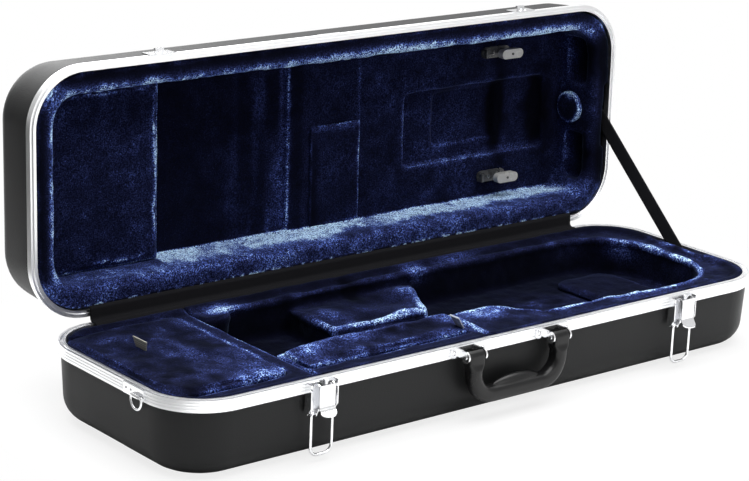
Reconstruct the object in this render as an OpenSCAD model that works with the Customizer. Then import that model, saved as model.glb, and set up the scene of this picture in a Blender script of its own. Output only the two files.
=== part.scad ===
// Oblong violin case, moulded shell with a metal rim, shown with its lid open.
// Millimetres. X runs along the case, -Y is the front with the handle, Z is up.
// The origin is the middle of the base's underside.

/* [Case] */
// Length over the base rim
case_l = 800; // [740:1:860]
// Depth over the base rim, front to back
case_d = 260; // [240:1:290]
// Height of the base, underside to rim
base_h = 82; // [78:1:95]
// Height of the lid, rim to top
lid_h = 80; // [76:1:95]
// Corner radius of the rim seen from above
corner_r = 62; // [54:1:75]
// Angle of the open lid from closed
lid_open = 91; // [60:1:100]

/* [Moulded shells] */
// Wall of both shells
shell_t = 2.8; // [2:0.1:4]
// Draft of the base's walls
base_draft = 2.9; // [1:0.1:4]
// Draft of the lid's walls
lid_draft = 4.4; // [1:0.1:5]
// Radius between the base's walls and its underside
base_edge_r = 27; // [18:1:32]
// Radius between the lid's walls and its top
lid_edge_r = 24; // [16:1:30]
// Depth of the hollow between the feet at each end
foot_h = 7; // [3:0.5:9]
// Width of the hollow between the feet
foot_gap_w = 67; // [40:1:100]
// Middle of the hollow, towards the hinges
foot_gap_y = 21; // [0:1:30]
// Length of the hollow, in from each end
foot_gap_l = 190; // [120:1:300]

/* [Metal rim] */
// Width of the rim's top face
rim_w = 7; // [6:0.1:9]
// Height of the base rim's outer face
base_rim_h = 12; // [10:0.5:14]
// Height of the lid rim's outer face
lid_rim_h = 7.5; // [6:0.5:10]
// How far the rim's face stands out from the shell
rim_proud = 2.4; // [1.5:0.1:3]
// Gap between the closed rims
rim_gap = 0.5; // [0.4:0.1:1]
// Width of the tongue under the lid rim
tongue_w = 1.2; // [1:0.1:1.6]
// Height of the tongue
tongue_h = 1.6; // [1:0.1:2]
// Width of the splice plate over each rim's joint
splice_w = 30; // [20:1:40]
// Place of the lid rim's splice plate from the middle
lid_splice_x = -28; // [-60:1:60]

/* [Hinges] */
// Distance from the middle hinge to each outer one
hinge_pitch = 250; // [150:1:290]
// Width of one hinge
hinge_w = 42; // [30:1:60]
// Reach of each leaf from the pin
hinge_leaf_h = 12; // [10:0.5:12]
// Extra reach of the lid's leaf over the shell
lid_leaf_h = 7; // [6:0.5:9]
// Radius of the knuckles
knuckle_r = 3.3; // [3:0.1:3.8]
// Diameter of the hinge pin
hinge_pin_d = 3; // [2.5:0.1:3.5]

/* [Front fittings] */
// Sideways place of the handle and latches from the middle
front_x = 4; // [-10:1:10]
// Distance from the handle's middle to each latch
latch_pitch = 247; // [180:1:290]
// Distance from the handle's middle to each bracket
bracket_pitch = 58; // [50:1:70]
// Thickness of the pressed metal fittings
plate_t = 1.2; // [1:0.1:1.5]
// Running clearance of pins in their holes, radial
pin_gap = 0.06; // [0.02:0.01:0.1]

/* [Latches] */
// Width over the latch's side walls
latch_w = 33; // [31:0.5:38]
// Height of the latch's back plate
latch_h = 34; // [32:1:40]
// Depth of the latch's side walls
latch_wall_d = 10; // [8:0.5:12]
// Width of the lever
lever_w = 18.6; // [17:0.1:19]
// Height of the lever's pivot below the rim
lever_pivot_drop = 6; // [5.5:0.1:8]
// Height of the bail's pivot below the rim
bail_pivot_drop = 31.5; // [29:0.5:33]
// Reach of the finger tab
tab_r = 10; // [7:0.5:12]
// Wire diameter of the bail
bail_d = 3; // [2.4:0.1:3.2]
// Length of the bail, pivot to bow
bail_l = 43; // [38:0.5:44]
// Width over the bail's legs
bail_w = 28.6; // [27:0.1:29]

/* [Handle] */
// Width over the handle
handle_w = 136; // [124:1:150]
// Height from the pivot to the underside of the grip
handle_h = 53; // [48:1:56]
// Width of the legs and height of the grip
handle_leg_w = 20; // [18:0.5:22]
// Thickness of the handle, front to back
handle_t = 18; // [14:0.5:19]
// Radius of the handle's round edges
handle_edge_r = 7; // [4:0.5:7]
// Rise of the thumb pad above the grip
thumb_h = 6; // [2:0.5:9]
// Diameter of the handle's pins
handle_pin_d = 5; // [4:0.1:6]
// Width of one bracket plate
bracket_w = 48; // [42:1:56]

/* [Strap rings] */
// Place of the ring towards the hinges, negative is to the front
ring_y = -58; // [-62:1:40]
// Width over the ring
ring_w = 20; // [17:0.5:24]
// Drop of the ring below its bar
ring_h = 13; // [11:0.5:16]
// Wire diameter of the ring
ring_d = 2.6; // [2:0.1:3]

/* [Tray] */
// Floor of the body and neck wells above the underside
well_z = 38; // [32:1:44]
// Depth of the tray's top below the rim
tray_drop = 4; // [2:0.5:8]
// Neck end of the body well, from the middle
well_x = 8; // [0:1:14]
// Foam between the body well and the tail end of the case
tail_wall = 37; // [30:1:60]
// Half width of the body well at the neck end
well_neck_w = 80; // [70:1:90]
// Half width of the body well at the tail end
well_tail_w = 97; // [90:1:99]
// Where the front shoulder of the body well begins
front_shoulder_x = 92; // [80:1:110]
// Where the back shoulder of the body well begins
back_shoulder_x = 58; // [50:1:80]
// Radius of the body well's tail corners
well_tail_r = 70; // [50:1:80]
// Radius of the body well's shoulders
well_shoulder_r = 30; // [15:1:45]
// Length taken by the scroll-end compartment, from the end of the case
scroll_end_l = 171; // [160:1:180]
// Front side of the neck well
neck_front_y = 42; // [38:1:46]
// Back side of the wells
well_back_y = 98; // [90:1:102]
// Thickness of the compartments' lids
flap_t = 8; // [5:0.5:10]
// Gap round the compartments' lids
flap_gap = 1.2; // [0.6:0.1:2]
// Foam between the scroll-end compartment's lid and the scroll well
end_flap_wall = 20; // [13:1:27]
// Floor of both compartments above the underside
box_floor_z = 30; // [26:1:34]
// Wall round both compartments
box_wall = 7; // [5:0.5:9]
// Half width of the front compartment's lid
side_flap_half_w = 22; // [18:0.5:24]
// Right end of the front compartment's lid, from the middle
side_flap_end = 16; // [12:1:30]
// Far end of the neck rest, from the middle
rest_x = 108; // [90:1:120]
// Height of the neck rest above the well floor
rest_h = 26; // [22:1:32]
// Radius of the hollow for the neck
neck_r = 20; // [17:0.5:22]
// Width of the cushion under the tail end of the violin
heel_pad_w = 130; // [100:1:150]
// Length of that cushion
heel_pad_l = 88; // [60:1:100]
// Rise of that cushion
heel_pad_h = 7; // [4:0.5:10]

/* [Lid lining] */
// Thickness of the padded wall round the lid
roll_w = 24; // [18:0.5:28]
// Radius of that wall's crest
crest_r = 10; // [6:0.5:14]
// Depth of the padded floor below the lid's rim
lid_floor = 58; // [54:1:62]
// Rise of the pad over the scroll end
end_pad_h = 14; // [8:1:18]
// Length of that pad, from the end of the case
end_pad_l = 181; // [165:1:200]
// Depth of the bay for the bow tips
bay_h = 6; // [3:0.5:10]
// Right edge of the bay, from the middle
bay_x = 41; // [30:1:60]
// Depth of the hollow over the bridge
bridge_step = 9; // [4:0.5:10]
// Depth of the inner hollow over the bridge
bridge_inner = 5; // [2:0.5:6]
// Width of the flat pocket
pocket_w = 70; // [60:1:80]
// Thickness of the pocket
pocket_t = 3; // [2:0.5:5]
// Diameter of the cushion on the tail end wall
cushion_d = 38; // [30:1:42]
// Depth of the bow slots in the tail end wall
bow_slot_d = 8; // [5:0.5:9]

/* [Bow holders] */
// Distance from the tail end of the case
bow_end_gap = 132; // [120:1:150]
// Distance from the middle to each side
bow_y = 74; // [66:1:78]
// Height of the button's top over the lid's floor
bow_h = 22; // [18:0.5:26]
// Length of the turn button
bow_button_l = 32; // [26:0.5:36]
// Width of the turn button
bow_button_w = 11; // [9:0.5:13]

/* [Lid stay] */
// Width of the webbing
stay_w = 19; // [15:0.5:25]
// Thickness of the webbing
stay_t = 1.4; // [1:0.1:1.8]
// Place where it crosses the base rim
stay_base_y = 16; // [0:1:30]
// Place where it crosses the lid rim, measured with the lid closed
stay_lid_y = 22; // [10:1:40]
// Length of webbing below each rim
stay_tail = 34; // [28:1:40]

/* [Hinge cover] */
// Thickness of the woven strip that hides the hinges
cover_t = 1; // [0.8:0.1:1.4]
// Height of the strip up the open lid's rim
cover_rise = 14; // [10:1:20]
// How far the strip laps over the base's lining
cover_lap = 2; // [1:0.5:4]
// Distance from the strip's ends to the round corners
cover_end_gap = 3; // [2:1:30]

/* [Hidden] */
$fn = 48;

eps = 0.01;
black = "#1c1d1f";
silver = "#c9ccd0";
chrome = "#d8dade";
plush = "#1b2f7a";
grey = "#8a8d88";

// Outer size of both shells under the rim
shell_l = case_l - 2*rim_proud;
shell_d = case_d - 2*rim_proud;
shell_r = corner_r - rim_proud;
rim_web = 4;
rim_inner_t = rim_w - rim_proud - shell_t;
groove_w = tongue_w + 2;
groove_h = tongue_h + 0.6;
tongue_x = corner_r - rim_w/2;
splice_edge = 0.6;
foot_fillet = 6;
relief_gap = 0.4;

// Hinge axis
hinge_y = case_d/2 + knuckle_r + 0.9;
hinge_z = base_h + rim_gap/2;
lid_z = base_h + rim_gap;
hinge_xs = [-hinge_pitch, 0, hinge_pitch];
knuckle_l = hinge_w/3;
knuckle_side_gap = 0.4;
// Inner face of the lid's leaf where it steps in over the shell, measured from the pin
leaf_y = case_d/2 - hinge_y - rim_proud + 0.05;

// Lining solids stay this far inside the rim
lining_gap = 0.6;
lining_l = case_l - 2*(rim_w + lining_gap);
lining_d = case_d - 2*(rim_w + lining_gap);
lining_r = corner_r - rim_w - lining_gap;
lining_edge_r = base_edge_r - shell_t;
tray_z = base_h - tray_drop;
lid_in_h = lid_h - shell_t;

// Latch, seen from the side: y and z of its pivots
latch_face = -case_d/2;
lever_py = latch_face - 9;
lever_pz = base_h - lever_pivot_drop;
bail_py = latch_face - 6;
bail_pz = base_h - bail_pivot_drop;
lever_front = latch_face - 14.2;
lever_gap = 0.3;
keeper_w = 31;
keeper_over = 7;
keeper_rivet_x = 3.6;
small_rivet_r = 1.8;
lever_boss_r = 5.2;
lever_head = 4;
lever_plate_z = base_h - 22;
bail_boss_r = 3.4;
latch_xs = [front_x - latch_pitch, front_x + latch_pitch];
latch_pin_d = 3;
bail_elbow_r = 2.8;
bail_stop = 184;
bail_bow_r = 6;
lug_t = 1.5;
lug_r = 3.6;

// Where the bail's bow rests on the keeper, and the keeper's shelf in the closed lid's frame
bow_rest = [bail_py - bail_l*sin(bail_stop), bail_pz - bail_l*cos(bail_stop)];
hook_z = bow_rest[1] - bail_d/2 - 0.3 - lid_z;
hook_y = bow_rest[0] - bail_d/2 - 0.3;

// Handle
handle_py = latch_face - 10.5;
handle_pz = base_h - 9.5;
bracket_xs = [front_x - bracket_pitch, front_x + bracket_pitch];
handle_boss_r = 6.2;
handle_bend_r = 20;
thumb_inset = 12;
handle_rivet_r = 2.4;
ear_t = 2;
ear_gap = 0.5;

// Rings
ring_pz = base_h - 8;
ring_px = case_l/2 + plate_t + ring_d/2 + 0.5;
ring_loop_w = 9;
ring_rivet_pitch = 8;

// Interior
well_end_x = case_l/2 - tail_wall;
scroll_x = case_l/2 - scroll_end_l;
end_flap_x = scroll_x + end_flap_wall;
end_pad_x = case_l/2 - end_pad_l;
bow_x = case_l/2 - bow_end_gap;
box_x0 = -lining_l/2 + 8;
end_flap = [box_x0, -93, -end_flap_x, 104];
side_flap_y = -(neck_front_y + box_wall/2 + side_flap_half_w + 2);
side_flap = [-scroll_x + box_wall, side_flap_y - side_flap_half_w, -side_flap_end,
    side_flap_y + side_flap_half_w];
flap_lip = 4;
flap_rise = 2;
flap_seat = 0.4;
flap_top = tray_z + flap_rise;
end_flap_r = 11;
side_flap_r = 4;
nook = 40;
nook_r = 22;
neck_axis_z = well_z + rest_h + 4;
heel_pad_gap = 30;
heel_pad_r = 20;
slot_d = 6;

// Pull tabs: width at the root and the tip, length, and slope
tab_t = 1.4;
end_tab = [15, 24, 13, 80];
end_tab_place = [end_flap[0] + 46, 32];
side_tab_form = [12, 14, 15, 55];
side_tab_place = [side_flap[2] - 6, side_flap_y - 11];

// Stay: where its two ends sit in the open case
stay_x = case_l/2 - rim_w - 0.4 - stay_t;
stay_a = [stay_base_y, base_h];
stay_b = lid_point(stay_lid_y, 0);
stay_run = norm(stay_b - stay_a);
stay_end = stay_tail - 8;
stay_rivet_d = 4;
stay_rivet_head_r = 3;
stay_angle = atan2(stay_b[1] - stay_a[1], stay_b[0] - stay_a[0]);

// A point of the closed lid, carried to the open lid: y and z
function lid_point(y, depth) = let (dy = y - hinge_y, dz = lid_z + depth - hinge_z)
    [hinge_y + dy*cos(lid_open) + dz*sin(lid_open), hinge_z - dy*sin(lid_open) + dz*cos(lid_open)];

// Carries what is drawn in the closed lid, with z measured in from its rim, to the open lid
module in_lid() {
    translate([0, hinge_y, hinge_z])
        rotate([-lid_open, 0, 0])
            translate([0, -hinge_y, lid_z - hinge_z])
                children();
}

// Sweeps a 2D section round a rounded rectangle; the section's x is measured from the corner's axis
module sweep(l, d, r) {
    for (sx = [0, 1], sy = [0, 1])
        mirror([sx, 0, 0]) mirror([0, sy, 0])
            translate([l/2 - r, d/2 - r, 0])
                rotate_extrude(angle = 90) children();
    for (s = [0, 1]) {
        mirror([0, s, 0])
            translate([-(l/2 - r), d/2 - r, 0])
                rotate([90, 0, 90]) linear_extrude(l - 2*r) children();
        mirror([s, 0, 0])
            translate([l/2 - r, d/2 - r, 0])
                rotate([90, 0, 0]) linear_extrude(d - 2*r) children();
    }
}

// Half section of a moulded tub: straight for a while below the rim, then drafted, with a round lower edge
module tub_section(r, h, draft, edge_r, straight) {
    foot = r - (h - straight)*tan(draft);
    cx = r - (h - straight - edge_r)*tan(draft) - edge_r/cos(draft);
    difference() {
        polygon([[0, 0], [foot, 0], [r, h - straight], [r, h], [0, h]]);
        difference() {
            polygon([[cx, -1], [foot + 5, -1], [foot + 5, edge_r],
                [cx + edge_r*cos(draft) + eps, edge_r - edge_r*sin(draft)], [cx, edge_r]]);
            translate([cx, edge_r]) circle(edge_r);
        }
    }
}

// Solid tub standing on its small face
module tub(l, d, r, h, draft, edge_r, straight) {
    sweep(l, d, r) tub_section(r, h, draft, edge_r, straight);
    translate([-(l/2 - r), -(d/2 - r), 0]) cube([l - 2*r, d - 2*r, h]);
}

// Flat prism with round corners
module slab(l, d, r, h) {
    linear_extrude(h) rounded(l, d, r);
}

module rounded(l, d, r) {
    square([l - 2*r, d], center = true);
    square([l, d - 2*r], center = true);
    for (sx = [-1, 1], sy = [-1, 1])
        translate([sx*(l/2 - r), sy*(d/2 - r)]) circle(r);
}

// Rounded rectangle given by its low and high corners
module rounded_box(c, r, h) {
    translate([(c[0] + c[2])/2, (c[1] + c[3])/2, 0]) slab(c[2] - c[0], c[3] - c[1], r, h);
}

// Round-headed rivet along -Y from a plate face at the origin
module rivet(r) {
    dome = 1.35*r;
    sunk = 0.9*r;
    rotate([90, 0, 0]) intersection() {
        translate([0, 0, -sunk]) sphere(dome);
        cylinder(r = r, h = r);
    }
}

// ---- Shells and rims ----

module foot_hollow(grow) {
    for (s = [-1, 1])
        translate([s*(case_l/2 - foot_gap_l/2), foot_gap_y, -1])
            slab(foot_gap_l + 2*grow, foot_gap_w + 2*grow, foot_fillet, foot_h + grow + 1);
}

// Clearance in the foam over the shell's floor between the feet
module foot_relief() {
    grow = shell_t + relief_gap;
    for (s = [0, 1]) mirror([s, 0, 0])
        translate([case_l/2 - foot_gap_l - grow, foot_gap_y - foot_gap_w/2 - grow, 0])
            cube([foot_gap_l, foot_gap_w + 2*grow, foot_h + grow]);
}

module base_shell() color(black) {
    h = base_h - rim_web;
    straight = base_rim_h - rim_web;
    difference() {
        tub(shell_l, shell_d, shell_r, h, base_draft, base_edge_r, straight);
        foot_hollow(0);
        difference() {
            translate([0, 0, shell_t])
                tub(shell_l - 2*shell_t, shell_d - 2*shell_t, shell_r - shell_t, h, base_draft,
                    base_edge_r - shell_t, straight + shell_t);
            foot_hollow(shell_t);
        }
    }
}

// Rim section: outer face with three grooves, web over the shell's edge, thin inner wall
module rim_section(h, up) {
    r = corner_r;
    groove = 0.5;
    difference() {
        translate([r - rim_w, up ? -h : 0]) square([rim_w, h]);
        translate([r - rim_w + rim_inner_t, up ? -h - 1 : rim_web])
            square([shell_t, h - rim_web + 1]);
        for (k = [1 : 3])
            translate([r, (up ? -1 : 1)*h*k/4]) rotate(45) square(groove*sqrt(2), center = true);
    }
}

module base_rim() color(silver) {
    translate([0, 0, base_h]) sweep(case_l, case_d, corner_r) difference() {
        rim_section(base_rim_h, true);
        translate([tongue_x - groove_w/2, -groove_h]) square([groove_w, groove_h + 1]);
    }
}

module lid_rim() color(silver) in_lid() {
    sweep(case_l, case_d, corner_r) {
        rim_section(lid_rim_h, false);
        translate([tongue_x - tongue_w/2, -tongue_h]) square([tongue_w, tongue_h + 1]);
    }
}

// Plate over a rim's joint, a little lower than the rim
module splice(h) {
    translate([-splice_w/2, 0, 0]) cube([splice_w, plate_t/2, h - splice_edge]);
}

module base_rim_splice() color(chrome)
    translate([hinge_pitch/2, case_d/2, base_h - base_rim_h]) splice(base_rim_h);

module lid_rim_splice() color(chrome) in_lid()
    translate([lid_splice_x, -case_d/2 - plate_t/2, splice_edge]) splice(lid_rim_h);

module lid_shell() color(black) in_lid() {
    h = lid_h - rim_web;
    straight = lid_rim_h - rim_web;
    translate([0, 0, lid_h]) mirror([0, 0, 1]) difference() {
        tub(shell_l, shell_d, shell_r, h, lid_draft, lid_edge_r, straight);
        translate([0, 0, shell_t])
            tub(shell_l - 2*shell_t, shell_d - 2*shell_t, shell_r - shell_t, h, lid_draft,
                lid_edge_r - shell_t, straight + shell_t);
    }
}

// ---- Tray in the base ----

// The space inside the base shell that the lining may fill
module lining_space() {
    translate([0, 0, shell_t])
        tub(lining_l, lining_d, lining_r, tray_z - shell_t, base_draft, lining_edge_r, 0);
}

// Polygon with each corner rounded by its own radius: the corner's arc runs between its tangent points
function round_path(pts, radii, steps = 8) = [
    for (i = [0 : len(pts) - 1])
        let (n = len(pts), p = pts[i], a = pts[(i + n - 1) % n] - p, b = pts[(i + 1) % n] - p,
            u = a/norm(a), v = b/norm(b), half = acos(u*v)/2, r = radii[i],
            c = p + (u + v)/norm(u + v)*r/sin(half), start = p + u*r/tan(half) - c,
            turn = (cross(u, v) > 0 ? -1 : 1)*(180 - 2*half))
        for (k = [0 : steps])
            let (t = turn*k/steps)
            c + [start[0]*cos(t) - start[1]*sin(t), start[0]*sin(t) + start[1]*cos(t)]];

// Outline of the well for the violin's body: pointed to the neck, broad and round at the tail
module body_outline() {
    polygon(round_path(
        [[well_x, 2], [front_shoulder_x, -well_neck_w], [well_end_x, -well_tail_w],
            [well_end_x, well_tail_w], [back_shoulder_x, well_tail_w]],
        [4, well_shoulder_r, well_tail_r, well_tail_r, well_shoulder_r/2]));
}

// Outline of the well for the neck and scroll, with a round block in its back corner
module neck_outline() {
    difference() {
        translate([-scroll_x, -neck_front_y])
            square([scroll_x + back_shoulder_x, neck_front_y + well_back_y]);
        translate([-scroll_x, well_back_y - nook/2]) difference() {
            square(nook);
            translate([nook - nook_r, -eps]) difference() {
                square([nook_r + 1, nook_r]);
                translate([0, nook_r]) circle(nook_r);
            }
        }
    }
}

module block(z0, z1) {
    intersection() {
        lining_space();
        translate([0, 0, z0]) linear_extrude(z1 - z0) children();
    }
}

module stay_slot() {
    translate([lining_l/2 - slot_d, stay_base_y - stay_tail - stay_w, -1])
        cube([slot_d + 5, stay_tail + 2*stay_w + 12, base_h]);
}

module tray_floor() color(plush) difference() {
    block(shell_t, well_z) translate([-scroll_x, -case_d/2]) square([scroll_x + case_l/2, case_d]);
    foot_relief();
}

module back_bolster() color(plush) difference() {
    block(well_z, tray_z) difference() {
        translate([-scroll_x, 0]) square([scroll_x + case_l/2, case_d/2]);
        neck_outline();
        body_outline();
    }
    stay_slot();
}

module front_bolster() color(plush) difference() {
    block(well_z, tray_z) difference() {
        translate([-side_flap_end + box_wall, -case_d/2]) square([case_l/2 + side_flap_end, case_d/2]);
        neck_outline();
        body_outline();
    }
    stay_slot();
}

// Two humps across the well with a round hollow between them for the neck
module neck_rest() color(plush) difference() {
    block(well_z, well_z + rest_h) difference() {
        translate([-rest_x, -neck_front_y]) square([rest_x + back_shoulder_x, neck_front_y + well_back_y]);
        body_outline();
    }
    translate([-rest_x - 1, 0, neck_axis_z]) rotate([0, 90, 0]) cylinder(r = neck_r, h = 2*rest_x);
}

module heel_pad() color(plush)
    translate([well_end_x - heel_pad_gap - heel_pad_l/2, 0, well_z])
        slab(heel_pad_l, heel_pad_w, heel_pad_r, heel_pad_h);

module scroll_end_box() color(plush) difference() {
    block(shell_t, tray_z) translate([-case_l/2, -case_d/2]) square([case_l/2 - scroll_x - eps, case_d]);
    foot_relief();
    compartment(end_flap, end_flap_r);
}

module side_box() color(plush) difference() {
    block(well_z, tray_z)
        translate([-scroll_x, -case_d/2])
            square([scroll_x - side_flap_end + box_wall - eps, case_d/2 - neck_front_y]);
    compartment(side_flap, side_flap_r);
}

function grow_box(c, g) = [c[0] - g, c[1] - g, c[2] + g, c[3] + g];

// Hollow of a compartment, with the ledge that its lid rests on
module compartment(c, r) {
    translate([0, 0, flap_top - flap_t])
        rounded_box(grow_box(c, flap_gap), r + flap_gap, flap_t);
    translate([0, 0, box_floor_z])
        rounded_box(grow_box(c, -flap_lip), r - flap_gap, base_h);
}

module flap(c, r) {
    translate([0, 0, flap_top - flap_t + flap_seat]) rounded_box(c, r, flap_t - flap_seat);
}

module scroll_end_flap() color(plush) flap(end_flap, end_flap_r);

module side_flap() color(plush) flap(side_flap, side_flap_r);

// Tapered pull tab, rising from its root on a lid towards -X
module pull_tab(place, form) color(grey) {
    root = form[0]/2;
    tip = form[1]/2;
    l = form[2];
    translate([place[0], place[1], flap_top + eps]) rotate([0, -form[3], 180])
        linear_extrude(tab_t) polygon([[0, -root], [l, -tip], [l, tip], [0, root]]);
}

module scroll_end_tab() pull_tab(end_tab_place, end_tab);

module side_tab() pull_tab(side_tab_place, side_tab_form);

// ---- Latches ----

module at_latch(k) {
    translate([latch_xs[k], 0, 0]) children();
}

// 2D outlines drawn looking along +X, as y and z, stood up along X
module along_x(x0, x1) {
    translate([x0, 0, 0]) rotate([90, 0, 90]) linear_extrude(x1 - x0) children();
}

// Side wall of the latch, its lower front corner cut off
module latch_wall() {
    cut = 6;
    low = base_h - latch_h + 1;
    front = latch_face - latch_wall_d;
    polygon([[latch_face, low], [front + cut, low], [front, low + cut + 2], [front, base_h - 1],
        [latch_face, base_h - 1]]);
}

module latch_base() {
    lug_in = lever_w/2 - plate_t - lever_gap - lug_t;
    difference() {
        union() {
            translate([-latch_w/2, latch_face - plate_t, base_h - latch_h + 1])
                cube([latch_w, plate_t, latch_h - 2]);
            for (s = [0, 1]) mirror([s, 0, 0]) {
                along_x(latch_w/2 - plate_t, latch_w/2) latch_wall();
                along_x(lug_in, lug_in + lug_t) latch_lug();
            }
        }
        along_x(-latch_w, latch_w) translate([lever_py, lever_pz]) circle(d = latch_pin_d);
    }
}

// Ear inside the lever that carries its pin; its arm leaves low, out of the lever's way
module latch_lug() {
    arm = latch_face - lever_py;
    arm_low = 10;
    circle_at(lever_py, lever_pz, lug_r);
    translate([lever_py, lever_pz]) polygon([[-1, -lug_r + 0.2], [arm, -arm_low], [arm, -1], [0, -0.5]]);
}

module latch_pins() color(chrome)
    for (k = [0, 1]) at_latch(k)
        along_x(-lever_w/2, lever_w/2) translate([lever_py, lever_pz]) circle(d = latch_pin_d);

// Side of the lever: round about both pivots
module lever_side() {
    circle_at(lever_py, lever_pz, lever_boss_r);
    circle_at(bail_py, bail_pz, bail_boss_r);
    polygon([[lever_front, lever_pz + 1], [lever_front, lever_plate_z], [bail_py - bail_boss_r, bail_pz],
        [bail_py + bail_boss_r - 0.2, bail_pz + 1], [lever_py + lever_boss_r, lever_pz]]);
}

module circle_at(x, y, r) {
    translate([x, y]) circle(r);
}

module latch_lever() {
    difference() {
        union() {
            for (s = [0, 1]) mirror([s, 0, 0])
                along_x(lever_w/2 - plate_t, lever_w/2) lever_side();
            along_x(-lever_w/2, lever_w/2)
                translate([lever_front, lever_plate_z])
                    square([plate_t, lever_pz + lever_head - lever_plate_z]);
            // finger tab: a quarter turn out of the plate's lower edge, round at its tip
            intersection() {
                along_x(-lever_w/2, lever_w/2)
                    translate([lever_front + plate_t - tab_r, lever_plate_z]) intersection() {
                        difference() {
                            circle(tab_r);
                            circle(tab_r - plate_t);
                        }
                        translate([0, -tab_r]) square(tab_r);
                    }
                translate([0, lever_front + plate_t, 0])
                    cylinder(r = tab_r, h = base_h);
            }
        }
        along_x(-latch_w, latch_w) translate([lever_py, lever_pz]) circle(r = latch_pin_d/2 + pin_gap);
        along_x(-latch_w, latch_w) translate([bail_py, bail_pz]) circle(r = bail_d/2 + pin_gap);
    }
}

// Wire bail hanging straight down from its pivot: stubs, round elbows, legs and a bow
module latch_bail() {
    leg_x = bail_w/2 - bail_d/2;
    stub_x = lever_w/2 - plate_t - lever_gap;
    translate([0, bail_py, bail_pz]) for (s = [0, 1]) mirror([s, 0, 0]) {
        rod([stub_x, 0, 0], [leg_x - bail_elbow_r, 0, 0]);
        translate([leg_x - bail_elbow_r, 0, -bail_elbow_r]) elbow(bail_elbow_r, 0);
        rod([leg_x, 0, -bail_elbow_r], [leg_x, 0, -bail_l + bail_bow_r]);
        translate([leg_x - bail_bow_r, 0, -bail_l + bail_bow_r]) elbow(bail_bow_r, -90);
        rod([0, 0, -bail_l], [leg_x - bail_bow_r, 0, -bail_l]);
    }
}

// Quarter turn of bail wire in the XZ plane, from the given angle
module elbow(r, start) {
    rotate([90, 0, 0]) rotate([0, 0, start])
        rotate_extrude(angle = 90) translate([r, 0]) circle(d = bail_d);
}

// Round bar between two points
module rod(a, b, d = bail_d) {
    v = b - a;
    translate(a) rotate([0, acos(v[2]/norm(v)), atan2(v[1], v[0])]) cylinder(d = d, h = norm(v));
}

module latch_rivets() color(chrome)
    for (k = [0, 1], s = [-1, 1]) at_latch(k)
        translate([s*(latch_w/2 - plate_t - 2.4), latch_face - plate_t, base_h - 7]) rivet(small_rivet_r);

// Keeper on the lid's front, in the closed lid's frame: plate, shelf and upturned lip
module keeper() {
    hook_w = bail_w - 2*bail_d - 2*bail_bow_r;
    lip_y = hook_y - plate_t;
    translate([-keeper_w/2, latch_face - plate_t, 1]) cube([keeper_w, plate_t, hook_z + keeper_over]);
    along_x(-hook_w/2, hook_w/2) {
        translate([lip_y, hook_z - plate_t]) square([latch_face - lip_y, plate_t]);
        translate([lip_y, hook_z - plate_t]) square([plate_t, plate_t + bail_d*0.6]);
    }
}

module keeper_rivets() color(chrome)
    in_lid() for (k = [0, 1], s = [-1, 1]) at_latch(k)
        translate([s*keeper_rivet_x, latch_face - plate_t, hook_z/2]) rivet(small_rivet_r - 0.2);

// ---- Handle ----

// Bracket plate with two ears that hold a leg's pin
module handle_bracket(x) {
    y1 = handle_py;
    ear_in = handle_leg_w/2 + ear_gap;
    translate([x, 0, 0]) difference() {
        union() {
            translate([-bracket_w/2, latch_face, base_h - base_rim_h]) rotate([90, 0, 0])
                linear_extrude(plate_t) translate([bracket_w/2, (base_rim_h - 1)/2])
                    rounded(bracket_w, base_rim_h - 1, 3);
            for (s = [0, 1]) mirror([s, 0, 0])
                along_x(ear_in, ear_in + ear_t) {
                    circle_at(y1, handle_pz, handle_boss_r);
                    translate([y1, handle_pz - 2]) square([latch_face - y1, handle_boss_r + 2]);
                }
        }
        along_x(-bracket_w, bracket_w) translate([y1, handle_pz]) circle(d = handle_pin_d);
    }
}

module handle_pins() color(chrome)
    for (x = bracket_xs) translate([x, 0, 0]) {
        half = handle_leg_w/2 + ear_gap + ear_t;
        along_x(-half - 1, half + 1) translate([handle_py, handle_pz]) circle(d = handle_pin_d);
    }

module handle_rivets() color(chrome)
    for (x = bracket_xs, s = [-1, 1])
        translate([x + s*(bracket_w/2 - 5), latch_face - plate_t, base_h - base_rim_h/2 - 0.5])
            rivet(handle_rivet_r);

// Section of the handle's bar: its width across, then its thickness from front to back
module handle_section() {
    rounded(handle_leg_w, handle_t, handle_edge_r);
}

// Low arch over the grip: a circle's cap
module thumb_pad(top) {
    chord = handle_w - 2*handle_leg_w - 2*thumb_inset;
    r = (chord*chord/4 + thumb_h*thumb_h)/(2*thumb_h);
    intersection() {
        circle_at(0, top + thumb_h - r, r);
        translate([-chord/2, top - handle_edge_r]) square([chord, thumb_h + handle_edge_r]);
    }
}

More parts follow.
